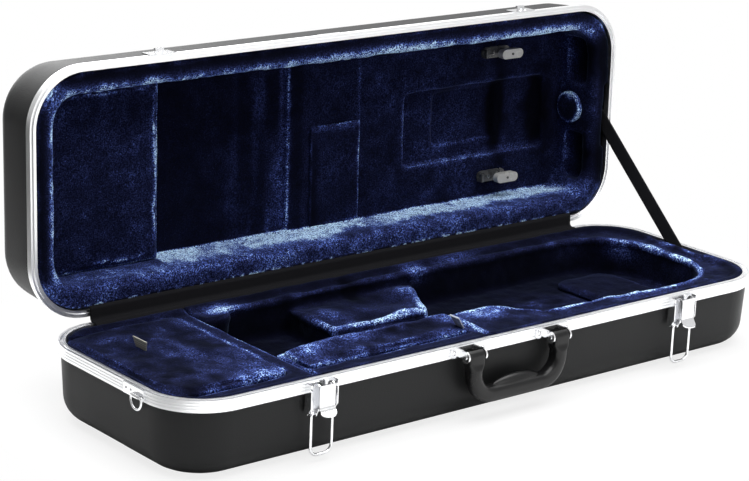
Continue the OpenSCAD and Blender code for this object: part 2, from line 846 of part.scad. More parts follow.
// Handle hanging from its pins: a round-edged bar down one leg, along the grip and up the other
module handle_grip() color(black)
    translate([front_x, handle_py, handle_pz]) difference() {
        leg_x = handle_w/2 - handle_leg_w/2;
        grip_z = -handle_h + handle_leg_w/2;
        bend_z = grip_z + handle_bend_r;
        union() {
            for (s = [0, 1]) mirror([s, 0, 0]) {
                translate([leg_x, 0, bend_z]) linear_extrude(-handle_boss_r - bend_z) handle_section();
                translate([leg_x - handle_bend_r, 0, bend_z]) rotate([-90, 0, 0])
                    rotate_extrude(angle = 90) translate([handle_bend_r, 0]) handle_section();
                translate([leg_x - handle_leg_w/2, -handle_boss_r, -handle_boss_r - eps])
                    cube([handle_leg_w, 2*handle_boss_r, handle_boss_r + eps]);
                translate([leg_x, 0, 0]) rotate([0, 90, 0])
                    cylinder(r = handle_boss_r, h = handle_leg_w, center = true);
            }
            translate([0, 0, grip_z]) rotate([0, 90, 0])
                linear_extrude(2*(leg_x - handle_bend_r), center = true) handle_section();
            rotate([90, 0, 0]) linear_extrude(handle_t - handle_edge_r, center = true)
                thumb_pad(-handle_h + handle_leg_w);
        }
        rotate([0, 90, 0]) cylinder(r = handle_pin_d/2 + pin_gap, h = 2*handle_w, center = true);
    }

// ---- Strap rings ----

// Plate and loop for the ring at the +X end
module ring_plate() {
    bore = ring_d/2 + 0.1;
    wrap = 1;
    margin = 5;
    translate([case_l/2, ring_y - ring_loop_w/2 - margin, base_h - base_rim_h + 0.5])
        cube([plate_t, ring_loop_w + 2*ring_rivet_pitch + 2*margin, base_rim_h - 1]);
    translate([0, ring_y, 0]) difference() {
        union() {
            translate([ring_px, 0, ring_pz]) rotate([90, 0, 0])
                cylinder(r = bore + wrap, h = ring_loop_w, center = true);
            translate([case_l/2, -ring_loop_w/2, ring_pz - bore - wrap])
                cube([ring_px - case_l/2, ring_loop_w, 2*(bore + wrap)]);
        }
        translate([ring_px, 0, ring_pz]) rotate([90, 0, 0])
            cylinder(r = bore, h = 2*ring_loop_w, center = true);
    }
}

// D-shaped ring hanging from its straight bar
module ring() {
    half = ring_w/2 - ring_d/2;
    translate([ring_px, ring_y, ring_pz]) {
        rod([0, -half, 0], [0, half, 0], ring_d);
        drop = ring_h - half;
        for (s = [-1, 1]) {
            translate([0, s*half, 0]) sphere(d = ring_d);
            rod([0, s*half, 0], [0, s*half, -drop], ring_d);
        }
        translate([0, 0, -drop]) rotate([0, 90, 0]) rotate([0, 0, -90])
            rotate_extrude(angle = 180) translate([half, 0]) circle(d = ring_d);
    }
}

module ring_rivets() color(chrome)
    for (s = [0, 1], k = [1, 2]) mirror([s, 0, 0])
        translate([case_l/2 + plate_t, ring_y + ring_loop_w/2 + k*ring_rivet_pitch, base_h - base_rim_h/2])
            rotate([0, 0, 90]) rivet(small_rivet_r);

// ---- Hinges ----

module each_hinge() {
    for (x = hinge_xs) translate([x, 0, 0]) children();
}

module hinge_base_leaf() {
    z1 = hinge_z - knuckle_r - 0.6;
    difference() {
        union() {
            translate([-hinge_w/2, case_d/2, hinge_z - hinge_leaf_h])
                cube([hinge_w, plate_t, z1 - hinge_z + hinge_leaf_h]);
            for (s = [-1, 1]) {
                x0 = s > 0 ? knuckle_l/2 + knuckle_side_gap : -hinge_w/2;
                w = knuckle_l - knuckle_side_gap;
                along_x(x0, x0 + w) {
                    circle_at(hinge_y, hinge_z, knuckle_r);
                    translate([case_d/2, z1 - 1]) square([knuckle_r + 0.9, hinge_z - z1 + 1]);
                }
            }
        }
        along_x(-hinge_w, hinge_w) circle_at(hinge_y, hinge_z, hinge_pin_d/2);
    }
}

// The lid's leaf, in the open case's frame: over the rim, then stepped in to follow the drafted shell
module hinge_lid_leaf() {
    z0 = knuckle_r + 0.6;
    z1 = lid_rim_h + 1;
    z2 = hinge_leaf_h + lid_leaf_h;
    rim_y = case_d/2 - hinge_y;
    step_z = z1 + rim_proud;
    lean = (z2 - step_z)*tan(lid_draft);
    bend = plate_t/2;
    open_lid_frame() difference() {
        union() {
            along_x(-hinge_w/2, hinge_w/2)
                polygon([[rim_y, z0], [rim_y, z1], [leaf_y, step_z], [leaf_y - lean, z2],
                    [leaf_y + plate_t - lean, z2], [leaf_y + plate_t - bend*tan(lid_draft), step_z + bend],
                    [rim_y + plate_t, z1 + bend], [rim_y + plate_t, z0]]);
            along_x(-knuckle_l/2, knuckle_l/2) {
                circle(knuckle_r);
                translate([rim_y, 0]) square([knuckle_r + 0.9, z0 + 1]);
            }
        }
        along_x(-hinge_w, hinge_w) circle(hinge_pin_d/2 + pin_gap);
    }
}

// Frame of the open lid with the hinge pin at the origin
module open_lid_frame() {
    translate([0, hinge_y, hinge_z]) rotate([-lid_open, 0, 0]) children();
}

module hinge_pins() color(chrome)
    for (x = hinge_xs)
        along_x(x - hinge_w/2 - 0.5, x + hinge_w/2 + 0.5) circle_at(hinge_y, hinge_z, hinge_pin_d/2);

module hinge_rivets_base() color(chrome)
    for (x = hinge_xs, s = [-1, 1])
        translate([x + s*(hinge_w/2 - 6), case_d/2 + plate_t, hinge_z - hinge_leaf_h + 3.4])
            rotate([0, 0, 180]) rivet(small_rivet_r);

module hinge_rivets_lid() color(chrome)
    for (x = hinge_xs, s = [-1, 1])
        open_lid_frame()
            translate([x + s*(hinge_w/2 - 6), leaf_y + plate_t, lid_rim_h + 1 + rim_proud])
                rotate([lid_draft, 0, 0]) translate([0, 0, 4]) rotate([0, 0, 180]) rivet(small_rivet_r);

// ---- Lid lining, all in the closed lid's frame ----

// The space inside the lid shell that the lining may fill, from depth z0 to z1
module lid_space(z0, z1) {
    intersection() {
        translate([0, 0, lid_in_h]) mirror([0, 0, 1])
            tub(lining_l, lining_d, lining_r, lid_in_h, lid_draft, lid_edge_r - shell_t, 0);
        translate([-case_l/2, -case_d/2, z0]) cube([case_l, case_d, z1 - z0]);
    }
}

wall_pad_z = 1.5;
lid_in = [lining_l - 2*roll_w, lining_d - 2*roll_w, lining_r - roll_w];
bridge_end_gap = 60;
bridge_l = 215;
bridge_outer_box = [case_l/2 - bridge_end_gap - bridge_l, -38, case_l/2 - bridge_end_gap, 48];
bridge_inner_l = 94;
bridge_inner_box = [bow_x - bridge_inner_l, -32, bow_x, 30];
bridge_outer_r = 6;
bridge_inner_r = 5;
pocket_x = -12;
pocket_y = -17;
pad_gap = 0.3;
cushion_t = 7.6;
cushion_drop = 2;
// Nearest the middle, depth below the rim, and the two lengths of a bow slot
bow_slot = [30, 18, 56, 28];

module lid_floor_pad() color(plush) in_lid() difference() {
    lid_space(lid_floor, lid_in_h);
    translate([-end_pad_x, -lid_in[1]/2, lid_floor - 1]) cube([end_pad_x - bay_x, lid_in[1], bay_h + 1]);
    translate([0, 0, lid_floor - 1]) rounded_box(bridge_outer_box, bridge_outer_r, bridge_step + 1);
    translate([0, 0, lid_floor]) rounded_box(bridge_inner_box, bridge_inner_r, bridge_step + bridge_inner);
}

// Rounds the edge between the padded wall's face and its side
module crest_cut() {
    translate([0, 0, wall_pad_z]) sweep(lid_in[0] + 2*crest_r, lid_in[1] + 2*crest_r, lid_in[2] + crest_r)
        difference() {
            translate([lid_in[2] - 1, -1]) square(crest_r + 1);
            translate([lid_in[2] + crest_r, crest_r]) circle(crest_r);
        }
}

module lid_wall_pad() color(plush) in_lid() difference() {
    lid_space(wall_pad_z, lid_floor);
    slab(lid_in[0], lid_in[1], lid_in[2], lid_h);
    crest_cut();
    translate([lining_l/2 - slot_d, stay_lid_y - stay_tail - stay_w, -1])
        cube([slot_d + 5, stay_tail + 2*stay_w + 4, stay_tail + 14]);
    for (s = [0, 1]) mirror([0, s, 0])
        translate([lid_in[0]/2 - lid_in[2], bow_slot[0], bow_slot[1]])
            cube([lid_in[2] + bow_slot_d, bow_slot[2], bow_slot[3]]);
}

module lid_end_pad() color(plush) in_lid()
    translate([0, 0, lid_floor - end_pad_h]) intersection() {
        slab(lid_in[0] - 2*pad_gap, lid_in[1] - 2*pad_gap, lid_in[2] - pad_gap, end_pad_h);
        translate([-case_l/2, -case_d/2, 0]) cube([case_l/2 - end_pad_x, case_d, end_pad_h]);
    }

module lid_pocket() color(plush) in_lid()
    translate([pocket_x, pocket_y, lid_floor - pocket_t])
        cube([pocket_w, lid_in[1]/2 - pocket_y - pad_gap, pocket_t]);

module lid_cushion() color(plush) in_lid()
    translate([lid_in[0]/2 - cushion_t - pad_gap, 0, lid_floor - cushion_d/2 - cushion_drop])
        rotate([0, 90, 0]) cylinder(d = cushion_d, h = cushion_t);

// ---- Bow holders ----

bow_ys = [-bow_y, bow_y];
bow_post_d = 8;
bow_button_t = 8;
bow_pin_d = 3;
bow_plate = [42, 13, 3];
bow_plate_x = -9;
bow_stop_x = -29;
bow_stop_r = 9;
bow_stop_w = 10;
bow_screw_x = -14;
screw_d = 5;
screw_h = 1.2;
cross_l = 4;
cross_w = 0.7;

module bow_clip(k) in_lid() translate([bow_x, bow_ys[k], lid_floor]) mirror([0, 0, 1]) {
    translate([bow_plate_x, 0, 0]) slab(bow_plate[0], bow_plate[1], bow_plate[1]/2 - eps, bow_plate[2]);
    cylinder(d = bow_post_d, h = bow_h - bow_button_t - 0.4);
    cylinder(d = bow_pin_d, h = bow_h + 0.6);
    // quarter-round stop that keeps the stick beside the post
    translate([bow_stop_x, 0, 0]) intersection() {
        translate([0, -bow_stop_w/2, 0]) cube([bow_stop_w/2, bow_stop_w, bow_stop_r]);
        rotate([90, 0, 0]) cylinder(r = bow_stop_r, h = bow_stop_w, center = true);
    }
}

module bow_button(k) in_lid() translate([bow_x, bow_ys[k], lid_floor]) mirror([0, 0, 1])
    translate([0, 0, bow_h - bow_button_t]) difference() {
        slab(bow_button_l, bow_button_w, bow_button_w/2 - eps, bow_button_t);
        translate([0, 0, -1]) cylinder(r = bow_pin_d/2 + pin_gap, h = bow_button_t + 2);
    }

module bow_screws() color(chrome) in_lid()
    for (y = bow_ys) translate([bow_x + bow_screw_x, y, lid_floor - bow_plate[2]]) mirror([0, 0, 1])
        difference() {
            cylinder(d = screw_d, h = screw_h);
            for (a = [0, 90]) rotate([0, 0, a])
                translate([-cross_l/2, -cross_w/2, screw_h/2]) cube([cross_l, cross_w, screw_h]);
        }

// ---- Stay and hinge cover ----

module stay_frame() {
    translate([0, stay_a[0], stay_a[1]]) rotate([stay_angle - 90, 0, 0]) children();
}

module stay_anchor_base() color(chrome)
    stay_frame() translate([stay_x - 0.1, 0, -stay_end])
        stay_plate(stay_reach(stay_end*sin(stay_angle) - base_rim_h, base_draft));

module stay_anchor_lid() color(chrome)
    stay_frame() translate([stay_x - 0.1, 0, stay_run + stay_end])
        stay_plate(stay_reach(stay_end*cos(stay_angle) - lid_rim_h, lid_draft));

// Length of the anchor's rivet, from the webbing to the drafted wall this far below the rim's face
function stay_reach(drop, draft) = case_l/2 - rim_proud - shell_t - drop*tan(draft) - stay_x;

// Clamp plate over the webbing's end, with the rivet that holds it to the shell
module stay_plate(reach) {
    translate([-plate_t, -stay_w/2, -5]) cube([plate_t, stay_w, 10]);
    rotate([0, 90, 0]) cylinder(d = stay_rivet_d, h = reach);
    translate([-plate_t, 0, 0]) rotate([0, 0, -90]) rivet(stay_rivet_head_r);
}

module lid_stay() color(black) difference() {
    stay_frame() translate([stay_x, -stay_w/2, -stay_tail]) cube([stay_t, stay_w, stay_run + 2*stay_tail]);
    stay_frame() for (z = [-stay_end, stay_run + stay_end])
        translate([stay_x - 1, 0, z]) rotate([0, 90, 0]) cylinder(d = stay_rivet_d + 0.4, h = 10);
}

// Woven strip that hides the hinges: flat over the base rim, then up the lid rim
module hinge_cover() color(black) {
    l = case_l - 2*corner_r - 2*cover_end_gap;
    y0 = case_d/2 - rim_w - cover_lap;
    y1 = hinge_y - knuckle_r - 1.6;
    translate([-l/2, y0, base_h + 0.4]) cube([l, y1 - y0 + cover_t, cover_t]);
    translate([-l/2, y1, base_h + 0.4]) cube([l, cover_t, cover_rise]);
}

base_shell();
base_rim();
base_rim_splice();
tray_floor();
back_bolster();
front_bolster();
neck_rest();
heel_pad();
scroll_end_box();
side_box();
scroll_end_flap();
scroll_end_tab();
side_flap();
side_tab();
color(chrome) at_latch(0) latch_base();  // latch_base_left
color(chrome) at_latch(1) latch_base();  // latch_base_right
latch_pins();
color(chrome) at_latch(0) latch_lever();  // latch_lever_left
color(chrome) at_latch(1) latch_lever();  // latch_lever_right
color(chrome) at_latch(0) latch_bail();  // latch_bail_left
color(chrome) at_latch(1) latch_bail();  // latch_bail_right
latch_rivets();
color(chrome) handle_bracket(bracket_xs[0]);  // handle_bracket_left
color(chrome) handle_bracket(bracket_xs[1]);  // handle_bracket_right
handle_pins();
handle_rivets();
handle_grip();
color(chrome) mirror([1, 0, 0]) ring_plate();  // ring_plate_left
color(chrome) ring_plate();  // ring_plate_right
color(chrome) mirror([1, 0, 0]) ring();  // ring_left
color(chrome) ring();  // ring_right
ring_rivets();
color(chrome) each_hinge() hinge_base_leaf();  // hinge_base_leaves
color(chrome) each_hinge() hinge_lid_leaf();  // hinge_lid_leaves
hinge_pins();
hinge_rivets_base();
hinge_rivets_lid();
lid_shell();
lid_rim();
lid_rim_splice();
lid_floor_pad();
lid_wall_pad();
lid_end_pad();
lid_pocket();
lid_cushion();
color(chrome) in_lid() at_latch(0) keeper();  // keeper_left
color(chrome) in_lid() at_latch(1) keeper();  // keeper_right
keeper_rivets();
color(grey) bow_clip(0);  // bow_clip_front
color(grey) bow_clip(1);  // bow_clip_back
color(grey) bow_button(0);  // bow_button_front
color(grey) bow_button(1);  // bow_button_back
bow_screws();
stay_anchor_base();
stay_anchor_lid();
lid_stay();
hinge_cover();
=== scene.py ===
"""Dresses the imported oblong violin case: moulded shells, ribbed rims, bright fittings and plush lining.

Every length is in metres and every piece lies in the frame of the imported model. Its origin is the middle
of the base's underside, X runs along the case, -Y is the front and Z is up. The lid stands open.
"""

import logging
import math
from dataclasses import dataclass, field
from enum import Enum
from typing import Callable

import bmesh
import bpy
import numpy as np
from mathutils import Matrix, Vector


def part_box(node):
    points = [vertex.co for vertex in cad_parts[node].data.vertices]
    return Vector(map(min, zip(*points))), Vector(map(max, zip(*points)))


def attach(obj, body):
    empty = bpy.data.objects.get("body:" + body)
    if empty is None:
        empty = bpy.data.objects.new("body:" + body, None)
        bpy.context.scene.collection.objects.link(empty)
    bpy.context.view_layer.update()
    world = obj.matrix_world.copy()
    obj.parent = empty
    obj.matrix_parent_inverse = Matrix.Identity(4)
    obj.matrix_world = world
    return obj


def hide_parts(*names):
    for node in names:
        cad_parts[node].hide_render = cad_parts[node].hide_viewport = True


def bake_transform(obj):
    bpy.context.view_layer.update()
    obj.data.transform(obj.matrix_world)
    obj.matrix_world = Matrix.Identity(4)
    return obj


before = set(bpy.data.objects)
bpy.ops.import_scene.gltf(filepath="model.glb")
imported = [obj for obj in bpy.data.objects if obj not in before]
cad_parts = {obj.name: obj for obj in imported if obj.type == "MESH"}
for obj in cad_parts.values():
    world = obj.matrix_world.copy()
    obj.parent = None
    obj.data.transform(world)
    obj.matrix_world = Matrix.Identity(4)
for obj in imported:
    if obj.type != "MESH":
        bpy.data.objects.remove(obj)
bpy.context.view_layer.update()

log = logging.getLogger("violin_case")

MM = 0.001
Colour = tuple[float, float, float, float]
Triple = tuple[float, float, float]
Span = tuple[float, float]


class Body(Enum):
    """The bodies that pieces made here ride on."""

    BASE = "base"
    LID = "lid"
    SCROLL_END_LID = "scroll_end_lid"
    SIDE_LID = "side_lid"
    HANDLE = "handle"
    BAIL_LEFT = "bail_left"
    BAIL_RIGHT = "bail_right"


# ---- Shader graphs ----


class Value:
    """A shader socket that ordinary arithmetic can be written on."""

    def __init__(self, graph: "Graph", socket: bpy.types.NodeSocket) -> None:
        """Wraps a socket of a graph."""
        self.graph = graph
        self.socket = socket

    def _math(self, operation: str, first: "Value | float", second: "Value | float") -> "Value":
        """The output of a Math node of that operation on the two values or links."""
        return self.graph.node("ShaderNodeMath", {"operation": operation}, {0: first, 1: second})

    def __add__(self, other: "Value | float") -> "Value":
        """This plus another."""
        return self._math("ADD", self, other)

    __radd__ = __add__

    def __sub__(self, other: "Value | float") -> "Value":
        """This less another."""
        return self._math("SUBTRACT", self, other)

    def __rsub__(self, other: "Value | float") -> "Value":
        """Another less this."""
        return self._math("SUBTRACT", other, self)

    def __mul__(self, other: "Value | float") -> "Value":
        """This times another."""
        return self._math("MULTIPLY", self, other)

    __rmul__ = __mul__

    def clamped(self) -> "Value":
        """This value held between 0 and 1."""
        return self.graph.node("ShaderNodeClamp", {}, {"Value": self})


class Graph:
    """The node tree of one material, or of the world."""

    def __init__(self, name: str, world: bpy.types.World | None = None) -> None:
        """Starts an empty tree.

        Args:
            name: the name of the new material.
            world: the world whose tree is emptied and used, in place of a new material's.
        """
        self.material = world or bpy.data.materials.new(name)
        self.material.use_nodes = True
        self.tree = self.material.node_tree
        self.tree.nodes.clear()

    def node(self, kind: str, settings: dict, inputs: dict, output: int | str = 0) -> Value:
        """Adds any node.

        Args:
            kind: the node's Blender type.
            settings: its properties, set first; "stops" holds a colour ramp's places and colours.
            inputs: the value or link of each named or numbered socket.
            output: which output is wanted.

        Returns:
            That output.
        """
        made = self.tree.nodes.new(kind)
        for key, value in settings.items():
            if key == "stops":
                self._set_stops(made.color_ramp, value)
            else:
                setattr(made, key, value)
        for key, value in inputs.items():
            if isinstance(value, Value):
                self.tree.links.new(value.socket, made.inputs[key])
            else:
                made.inputs[key].default_value = value
        return Value(self, made.outputs[output])

    @staticmethod
    def _set_stops(ramp: bpy.types.ColorRamp, stops: tuple[tuple[float, Colour], ...]) -> None:
        """Gives a colour ramp its stops.

        Args:
            ramp: the ramp, which starts with two stops.
            stops: the place from 0 to 1 and the colour of each stop.
        """
        while len(ramp.elements) < len(stops):
            ramp.elements.new(1.0)
        for element, (place, colour) in zip(ramp.elements, stops):
            element.position, element.color = place, colour

    def position(self, scale: Triple = (1.0, 1.0, 1.0)) -> Value:
        """The point in the piece's own frame.

        Args:
            scale: how far it is stretched along each axis.

        Returns:
            The point.
        """
        point = self.node("ShaderNodeTexCoord", {}, {}, "Object")
        if scale == (1.0, 1.0, 1.0):
            return point
        return self.node("ShaderNodeMapping", {}, {"Vector": point, "Scale": scale})

    def noise(self, size: float, detail: float = 2.0, rough: float = 0.5, at: Value | None = None) -> Value:
        """Cloudy noise from 0 to 1.

        Args:
            size: the size of one cloud in metres.
            detail: how many finer octaves are added.
            rough: the strength of the finer octaves.
            at: where it is read, or the piece's own point.

        Returns:
            The noise.
        """
        inputs = {"Vector": at or self.position(), "Scale": 1.0 / size, "Detail": detail, "Roughness": rough}
        return self.node("ShaderNodeTexNoise", {}, inputs)

    def ramp(self, value: Value, low: float, high: float) -> Value:
        """0 where value is below low, 1 above high, and smooth between."""
        settings = {"interpolation_type": "SMOOTHSTEP", "clamp": True}
        return self.node("ShaderNodeMapRange", settings, {"Value": value, "From Min": low, "From Max": high})

    def along_x(self, point: Value) -> Value:
        """A point's or direction's part along X."""
        return self.node("ShaderNodeSeparateXYZ", {}, {0: point}, "X")

    def blend(self, factor: Value | float, first: Colour, second: Colour) -> Value:
        """A colour between two others, the first where the factor is 0 and the second where it is 1."""
        settings = {"data_type": "RGBA", "clamp_factor": True}
        return self.node("ShaderNodeMix", settings, {0: factor, 6: first, 7: second}, 2)

    def bump(self, height: Value, strength: float, distance: float) -> Value:
        """A bumped normal.

        Args:
            height: the height from 0 to 1.
            strength: how much of the bump is used.
            distance: how deep a height of 1 is, in metres.

        Returns:
            The normal.
        """
        return self.node("ShaderNodeBump", {}, {"Height": height, "Strength": strength, "Distance": distance})

    def finish(self, **sockets: Value | Colour | float) -> bpy.types.Material:
        """Ends the graph in one Principled shader.

        Args:
            sockets: its inputs, with underscores for spaces.

        Returns:
            The material.
        """
        named = {key.replace("_", " "): value for key, value in sockets.items()}
        self.end(self.node("ShaderNodeBsdfPrincipled", {}, named))
        return self.material

    def end(self, shader: Value, kind: str = "ShaderNodeOutputMaterial") -> None:
        """Links a shader to the surface of the material, or of the world by the world's kind of output."""
        output = self.tree.nodes.new(kind)
        self.tree.links.new(shader.socket, output.inputs["Surface"])


def rgb(red: float, green: float, blue: float) -> Colour:
    """A colour with full alpha."""
    return (red, green, blue, 1.0)


def shaded(colour: Colour, share: float) -> Colour:
    """A colour with its red, green and blue times a share."""
    return rgb(*(part * share for part in colour[:3]))


# ---- Finishes ----

UNIT_WAVE = 0.314  # the length of one wave of a Wave Texture whose scale is 1
PILE_TONE_AND_LIGHT = "pile"  # the name of the stored tone of the pile, which holds its painted light and shade
painted: dict[str, bpy.types.Material] = {}


@dataclass(frozen=True)
class Finish:
    """One finish of the case; each kind paints its own graph."""

    name: str

    def material(self) -> bpy.types.Material:
        """The finish's material, which is painted once and shared by every piece that has the finish."""
        if self.name not in painted:
            painted[self.name] = self.paint(Graph(self.name))
        return painted[self.name]

    def paint(self, graph: Graph) -> bpy.types.Material:
        """Fills the graph and returns its material."""
        raise NotImplementedError


@dataclass(frozen=True)
class GrainedPlastic(Finish):
    """Black moulded plastic with a fine leather grain and faint scuffs."""

    colour: Colour = rgb(0.0125, 0.013, 0.0135)
    grain: float = 1.5 * MM
    depth: float = 0.22 * MM
    gloss: float = 0.42
    shine: float = 0.16
    scuffed: Colour = rgb(0.03, 0.031, 0.033)
    scuff: float = 9 * MM
    patch: float = 45 * MM

    def paint(self, graph: Graph) -> bpy.types.Material:
        """Pebbled grain from cell distance, broken by finer noise, under a faint patchy gloss.

        Args:
            graph: the empty graph.

        Returns:
            Its material.
        """
        cells = graph.node("ShaderNodeTexVoronoi", {"feature": "SMOOTH_F1"},
                           {"Vector": graph.position(), "Scale": 1.0 / self.grain, "Smoothness": 0.6})
        fine = graph.noise(self.grain * 0.45)
        patches = graph.noise(self.patch, 3.0)
        height = (1.0 - cells) * 0.7 + fine * 0.5
        scuffs = graph.ramp(graph.noise(self.scuff, 6.0, 0.75), 0.62, 0.78)
        rough = self.gloss + patches * 0.1 + scuffs * 0.08
        colour = graph.blend(scuffs * 0.3, self.colour, self.scuffed)
        return graph.finish(Base_Color=colour, Roughness=rough, Specular_IOR_Level=self.shine,
                            Normal=graph.bump(height, 0.55, self.depth))


@dataclass(frozen=True)
class SatinMetal(Finish):
    """Metal with fine drawn lines and a soft, slightly uneven gloss."""

    colour: Colour = rgb(0.93, 0.935, 0.945)
    gloss: float = 0.24
    stretch: Triple = (0.02, 0.02, 1.0)
    line: float = 0.5 * MM
    depth: float = 0.02 * MM
    patch: float = 30 * MM

    def paint(self, graph: Graph) -> bpy.types.Material:
        """Lines are noise squeezed across the drawing direction; the gloss varies with them.

        Args:
            graph: the empty graph.

        Returns:
            Its material.
        """
        lines = graph.noise(self.line, at=graph.position(self.stretch))
        patches = graph.noise(self.patch, 3.0)
        colour = graph.blend(patches * 0.25, self.colour, shaded(self.colour, 0.9))
        rough = self.gloss + lines * 0.1 + patches * 0.05
        return graph.finish(Base_Color=colour, Metallic=1.0, Roughness=rough,
                            Normal=graph.bump(lines, 0.25, self.depth))


@dataclass(frozen=True)
class Plush(Finish):
    """Short-pile plush from near black to light blue, by a stored tone that holds painted light and shade."""

    tones: tuple[tuple[float, Colour], ...] = (
        (0.0, rgb(0.0006, 0.0008, 0.003)),
        (0.14, rgb(0.0032, 0.0039, 0.013)),
        (0.34, rgb(0.0112, 0.0145, 0.052)),
        (0.54, rgb(0.038, 0.056, 0.2)),
        (0.7, rgb(0.115, 0.2, 0.63)),
        (0.95, rgb(0.6, 0.84, 1.0)),
    )
    tuft: float = 1.5 * MM
    clump: float = 5 * MM
    depth: float = 0.5 * MM
    sheen: float = 0.1
    sheen_tint: Colour = rgb(0.4, 0.55, 1.0)

    def paint(self, graph: Graph) -> bpy.types.Material:
        """The stored tone with its painted light and shade, broken by tufts, clumps and fibres of noise,
        picks a tone.

        Args:
            graph: the empty graph.

        Returns:
            Its material.
        """
        tufts = graph.noise(self.tuft, rough=0.6)
        clumps = graph.noise(self.clump, rough=0.6)
        specks = graph.ramp(tufts, 0.36, 0.66)
        brushed = graph.ramp(clumps, 0.38, 0.64)
        fibres = graph.ramp(graph.noise(self.tuft * 0.8, 1.0), 0.6, 0.8)
        # the stored tone holds painted light and painted shade besides random mottling
        pile = graph.node("ShaderNodeAttribute", {"attribute_name": PILE_TONE_AND_LIGHT}, {}, "Fac")
        lit_tone = pile * (0.34 + specks * 0.86 + brushed * 0.26) + fibres * (0.1 + pile * 0.55)
        tone = graph.node("ShaderNodeValToRGB", {"stops": self.tones}, {"Fac": lit_tone.clamped()})
        height = tufts * 0.6 + clumps * 1.2
        return graph.finish(Base_Color=tone, Roughness=0.95, Specular_IOR_Level=0.03,
                            Sheen_Weight=self.sheen, Sheen_Roughness=0.35, Sheen_Tint=self.sheen_tint,
                            Normal=graph.bump(height, 0.8, self.depth))


@dataclass(frozen=True)
class MouldedNylon(Finish):
    """Smooth moulded plastic with faint flow marks."""

    colour: Colour
    gloss: float
    flow: float = 7 * MM
    texture: float = 0.6 * MM

    def paint(self, graph: Graph) -> bpy.types.Material:
        """Flow marks are broad noise in the colour and the gloss, over a faint fine texture.

        Args:
            graph: the empty graph.

        Returns:
            Its material.
        """
        flow = graph.noise(self.flow, 3.0)
        colour = graph.blend(flow * 0.5, self.colour, shaded(self.colour, 1.5))
        return graph.finish(Base_Color=colour, Roughness=self.gloss + flow * 0.12,
                            Normal=graph.bump(graph.noise(self.texture), 0.3, 0.05 * MM))


@dataclass(frozen=True)
class Webbing(Finish):
    """Woven tape. A mapped piece's weave follows its own map, and another's its frame's X and Z."""

    colour: Colour = rgb(0.006, 0.006, 0.0072)
    thread: Colour = rgb(0.028, 0.028, 0.032)
    pitch: float = 1.6 * MM
    mapped: bool = True
    fibre: float = 0.5 * MM

    def paint(self, graph: Graph) -> bpy.types.Material:
        """Two crossed waves whose product gives the basket weave, with fine fibre noise.

        Args:
            graph: the empty graph.

        Returns:
            Its material.
        """
        place = graph.node("ShaderNodeUVMap", {}, {}) if self.mapped else graph.position()
        waves = []
        for axis in ("X", "Y" if self.mapped else "Z"):
            settings = {"wave_type": "BANDS", "bands_direction": axis, "wave_profile": "SIN"}
            inputs = {"Vector": place, "Scale": UNIT_WAVE / self.pitch, "Distortion": 0.0}
            waves.append(graph.node("ShaderNodeTexWave", settings, inputs, "Fac"))
        weave = waves[0] * waves[1]
        fibre = graph.noise(self.fibre)
        colour = graph.blend(weave * 0.7 + fibre * 0.2, self.colour, self.thread)
        return graph.finish(Base_Color=colour, Roughness=0.85, Specular_IOR_Level=0.15,
                            Normal=graph.bump(weave * 0.8 + fibre * 0.3, 0.7, 0.5 * MM))


SHELL = GrainedPlastic("shell_plastic")
HANDLE = GrainedPlastic("handle_plastic", rgb(0.006, 0.006, 0.0065), 0.9 * MM, 0.05 * MM, 0.24, 0.28)
BASE_RIM = SatinMetal("base_rim_metal")
LID_RIM = SatinMetal("lid_rim_metal", stretch=(0.02, 1.0, 0.02))
BRIGHT = SatinMetal("bright_steel", rgb(0.84, 0.845, 0.86), 0.09, (1.0, 1.0, 1.0), 2.0 * MM, 0.01 * MM)
PLUSH = Plush("plush")
CLIP = MouldedNylon("dark_nylon", rgb(0.05, 0.051, 0.053), 0.22)
BUTTON = MouldedNylon("grey_nylon", rgb(0.36, 0.36, 0.35), 0.2)
TAPE = Webbing("black_webbing")
COVER = Webbing("hinge_cloth", rgb(0.0022, 0.0022, 0.0032), rgb(0.007, 0.007, 0.0095), 1.1 * MM)
END_TAB = Webbing("end_tab_tape", rgb(0.24, 0.24, 0.215), rgb(0.55, 0.55, 0.5), 2.2 * MM, False)
SIDE_TAB = Webbing("side_tab_tape", rgb(0.42, 0.45, 0.52), rgb(0.65, 0.7, 0.8), 2.2 * MM, False)




# ---- Mesh work ----

WELD = 0.01 * MM  # a CAD node's vertices nearer than this are merged
HARD_EDGE = math.radians(32)  # its edges sharper than this stay hard


def make_mesh(name: str, points: np.ndarray, faces: np.ndarray, smooth: bool = True) -> bpy.types.Object:
    """Makes an object from arrays.

    Args:
        name: the piece's name.
        points: one row of x, y, z for each vertex.
        faces: one row of vertex numbers for each face, all of one size.
        smooth: whether the faces are shaded smooth.

    Returns:
        The new object, at the origin.
    """
    mesh = bpy.data.meshes.new(name)
    count, size = faces.shape
    mesh.vertices.add(len(points))
    mesh.vertices.foreach_set("co", np.asarray(points, np.float32).ravel())
    mesh.loops.add(count * size)
    mesh.loops.foreach_set("vertex_index", np.asarray(faces, np.int32).ravel())
    mesh.polygons.add(count)
    mesh.polygons.foreach_set("loop_start", np.arange(count, dtype=np.int32) * size)
    mesh.polygons.foreach_set("use_smooth", np.full(count, smooth))
    mesh.update(calc_edges=True)
    mesh.validate()
    piece = bpy.data.objects.new(name, mesh)
    bpy.context.scene.collection.objects.link(piece)
    return piece


def join_meshes(name: str, pieces: tuple[bpy.types.Object, ...]) -> bpy.types.Object:
    """Joins several quad meshes.

    Args:
        name: the new object's name.
        pieces: the objects, which are removed.

    Returns:
        One object with all their faces.
    """
    points, faces, first = [], [], 0
    for piece in pieces:
        points.append(points_of(piece))
        faces.append(corners_of(piece.data).reshape(-1, 4) + first)
        first += len(points[-1])
        bpy.data.objects.remove(piece)
    return make_mesh(name, np.concatenate(points), np.concatenate(faces))


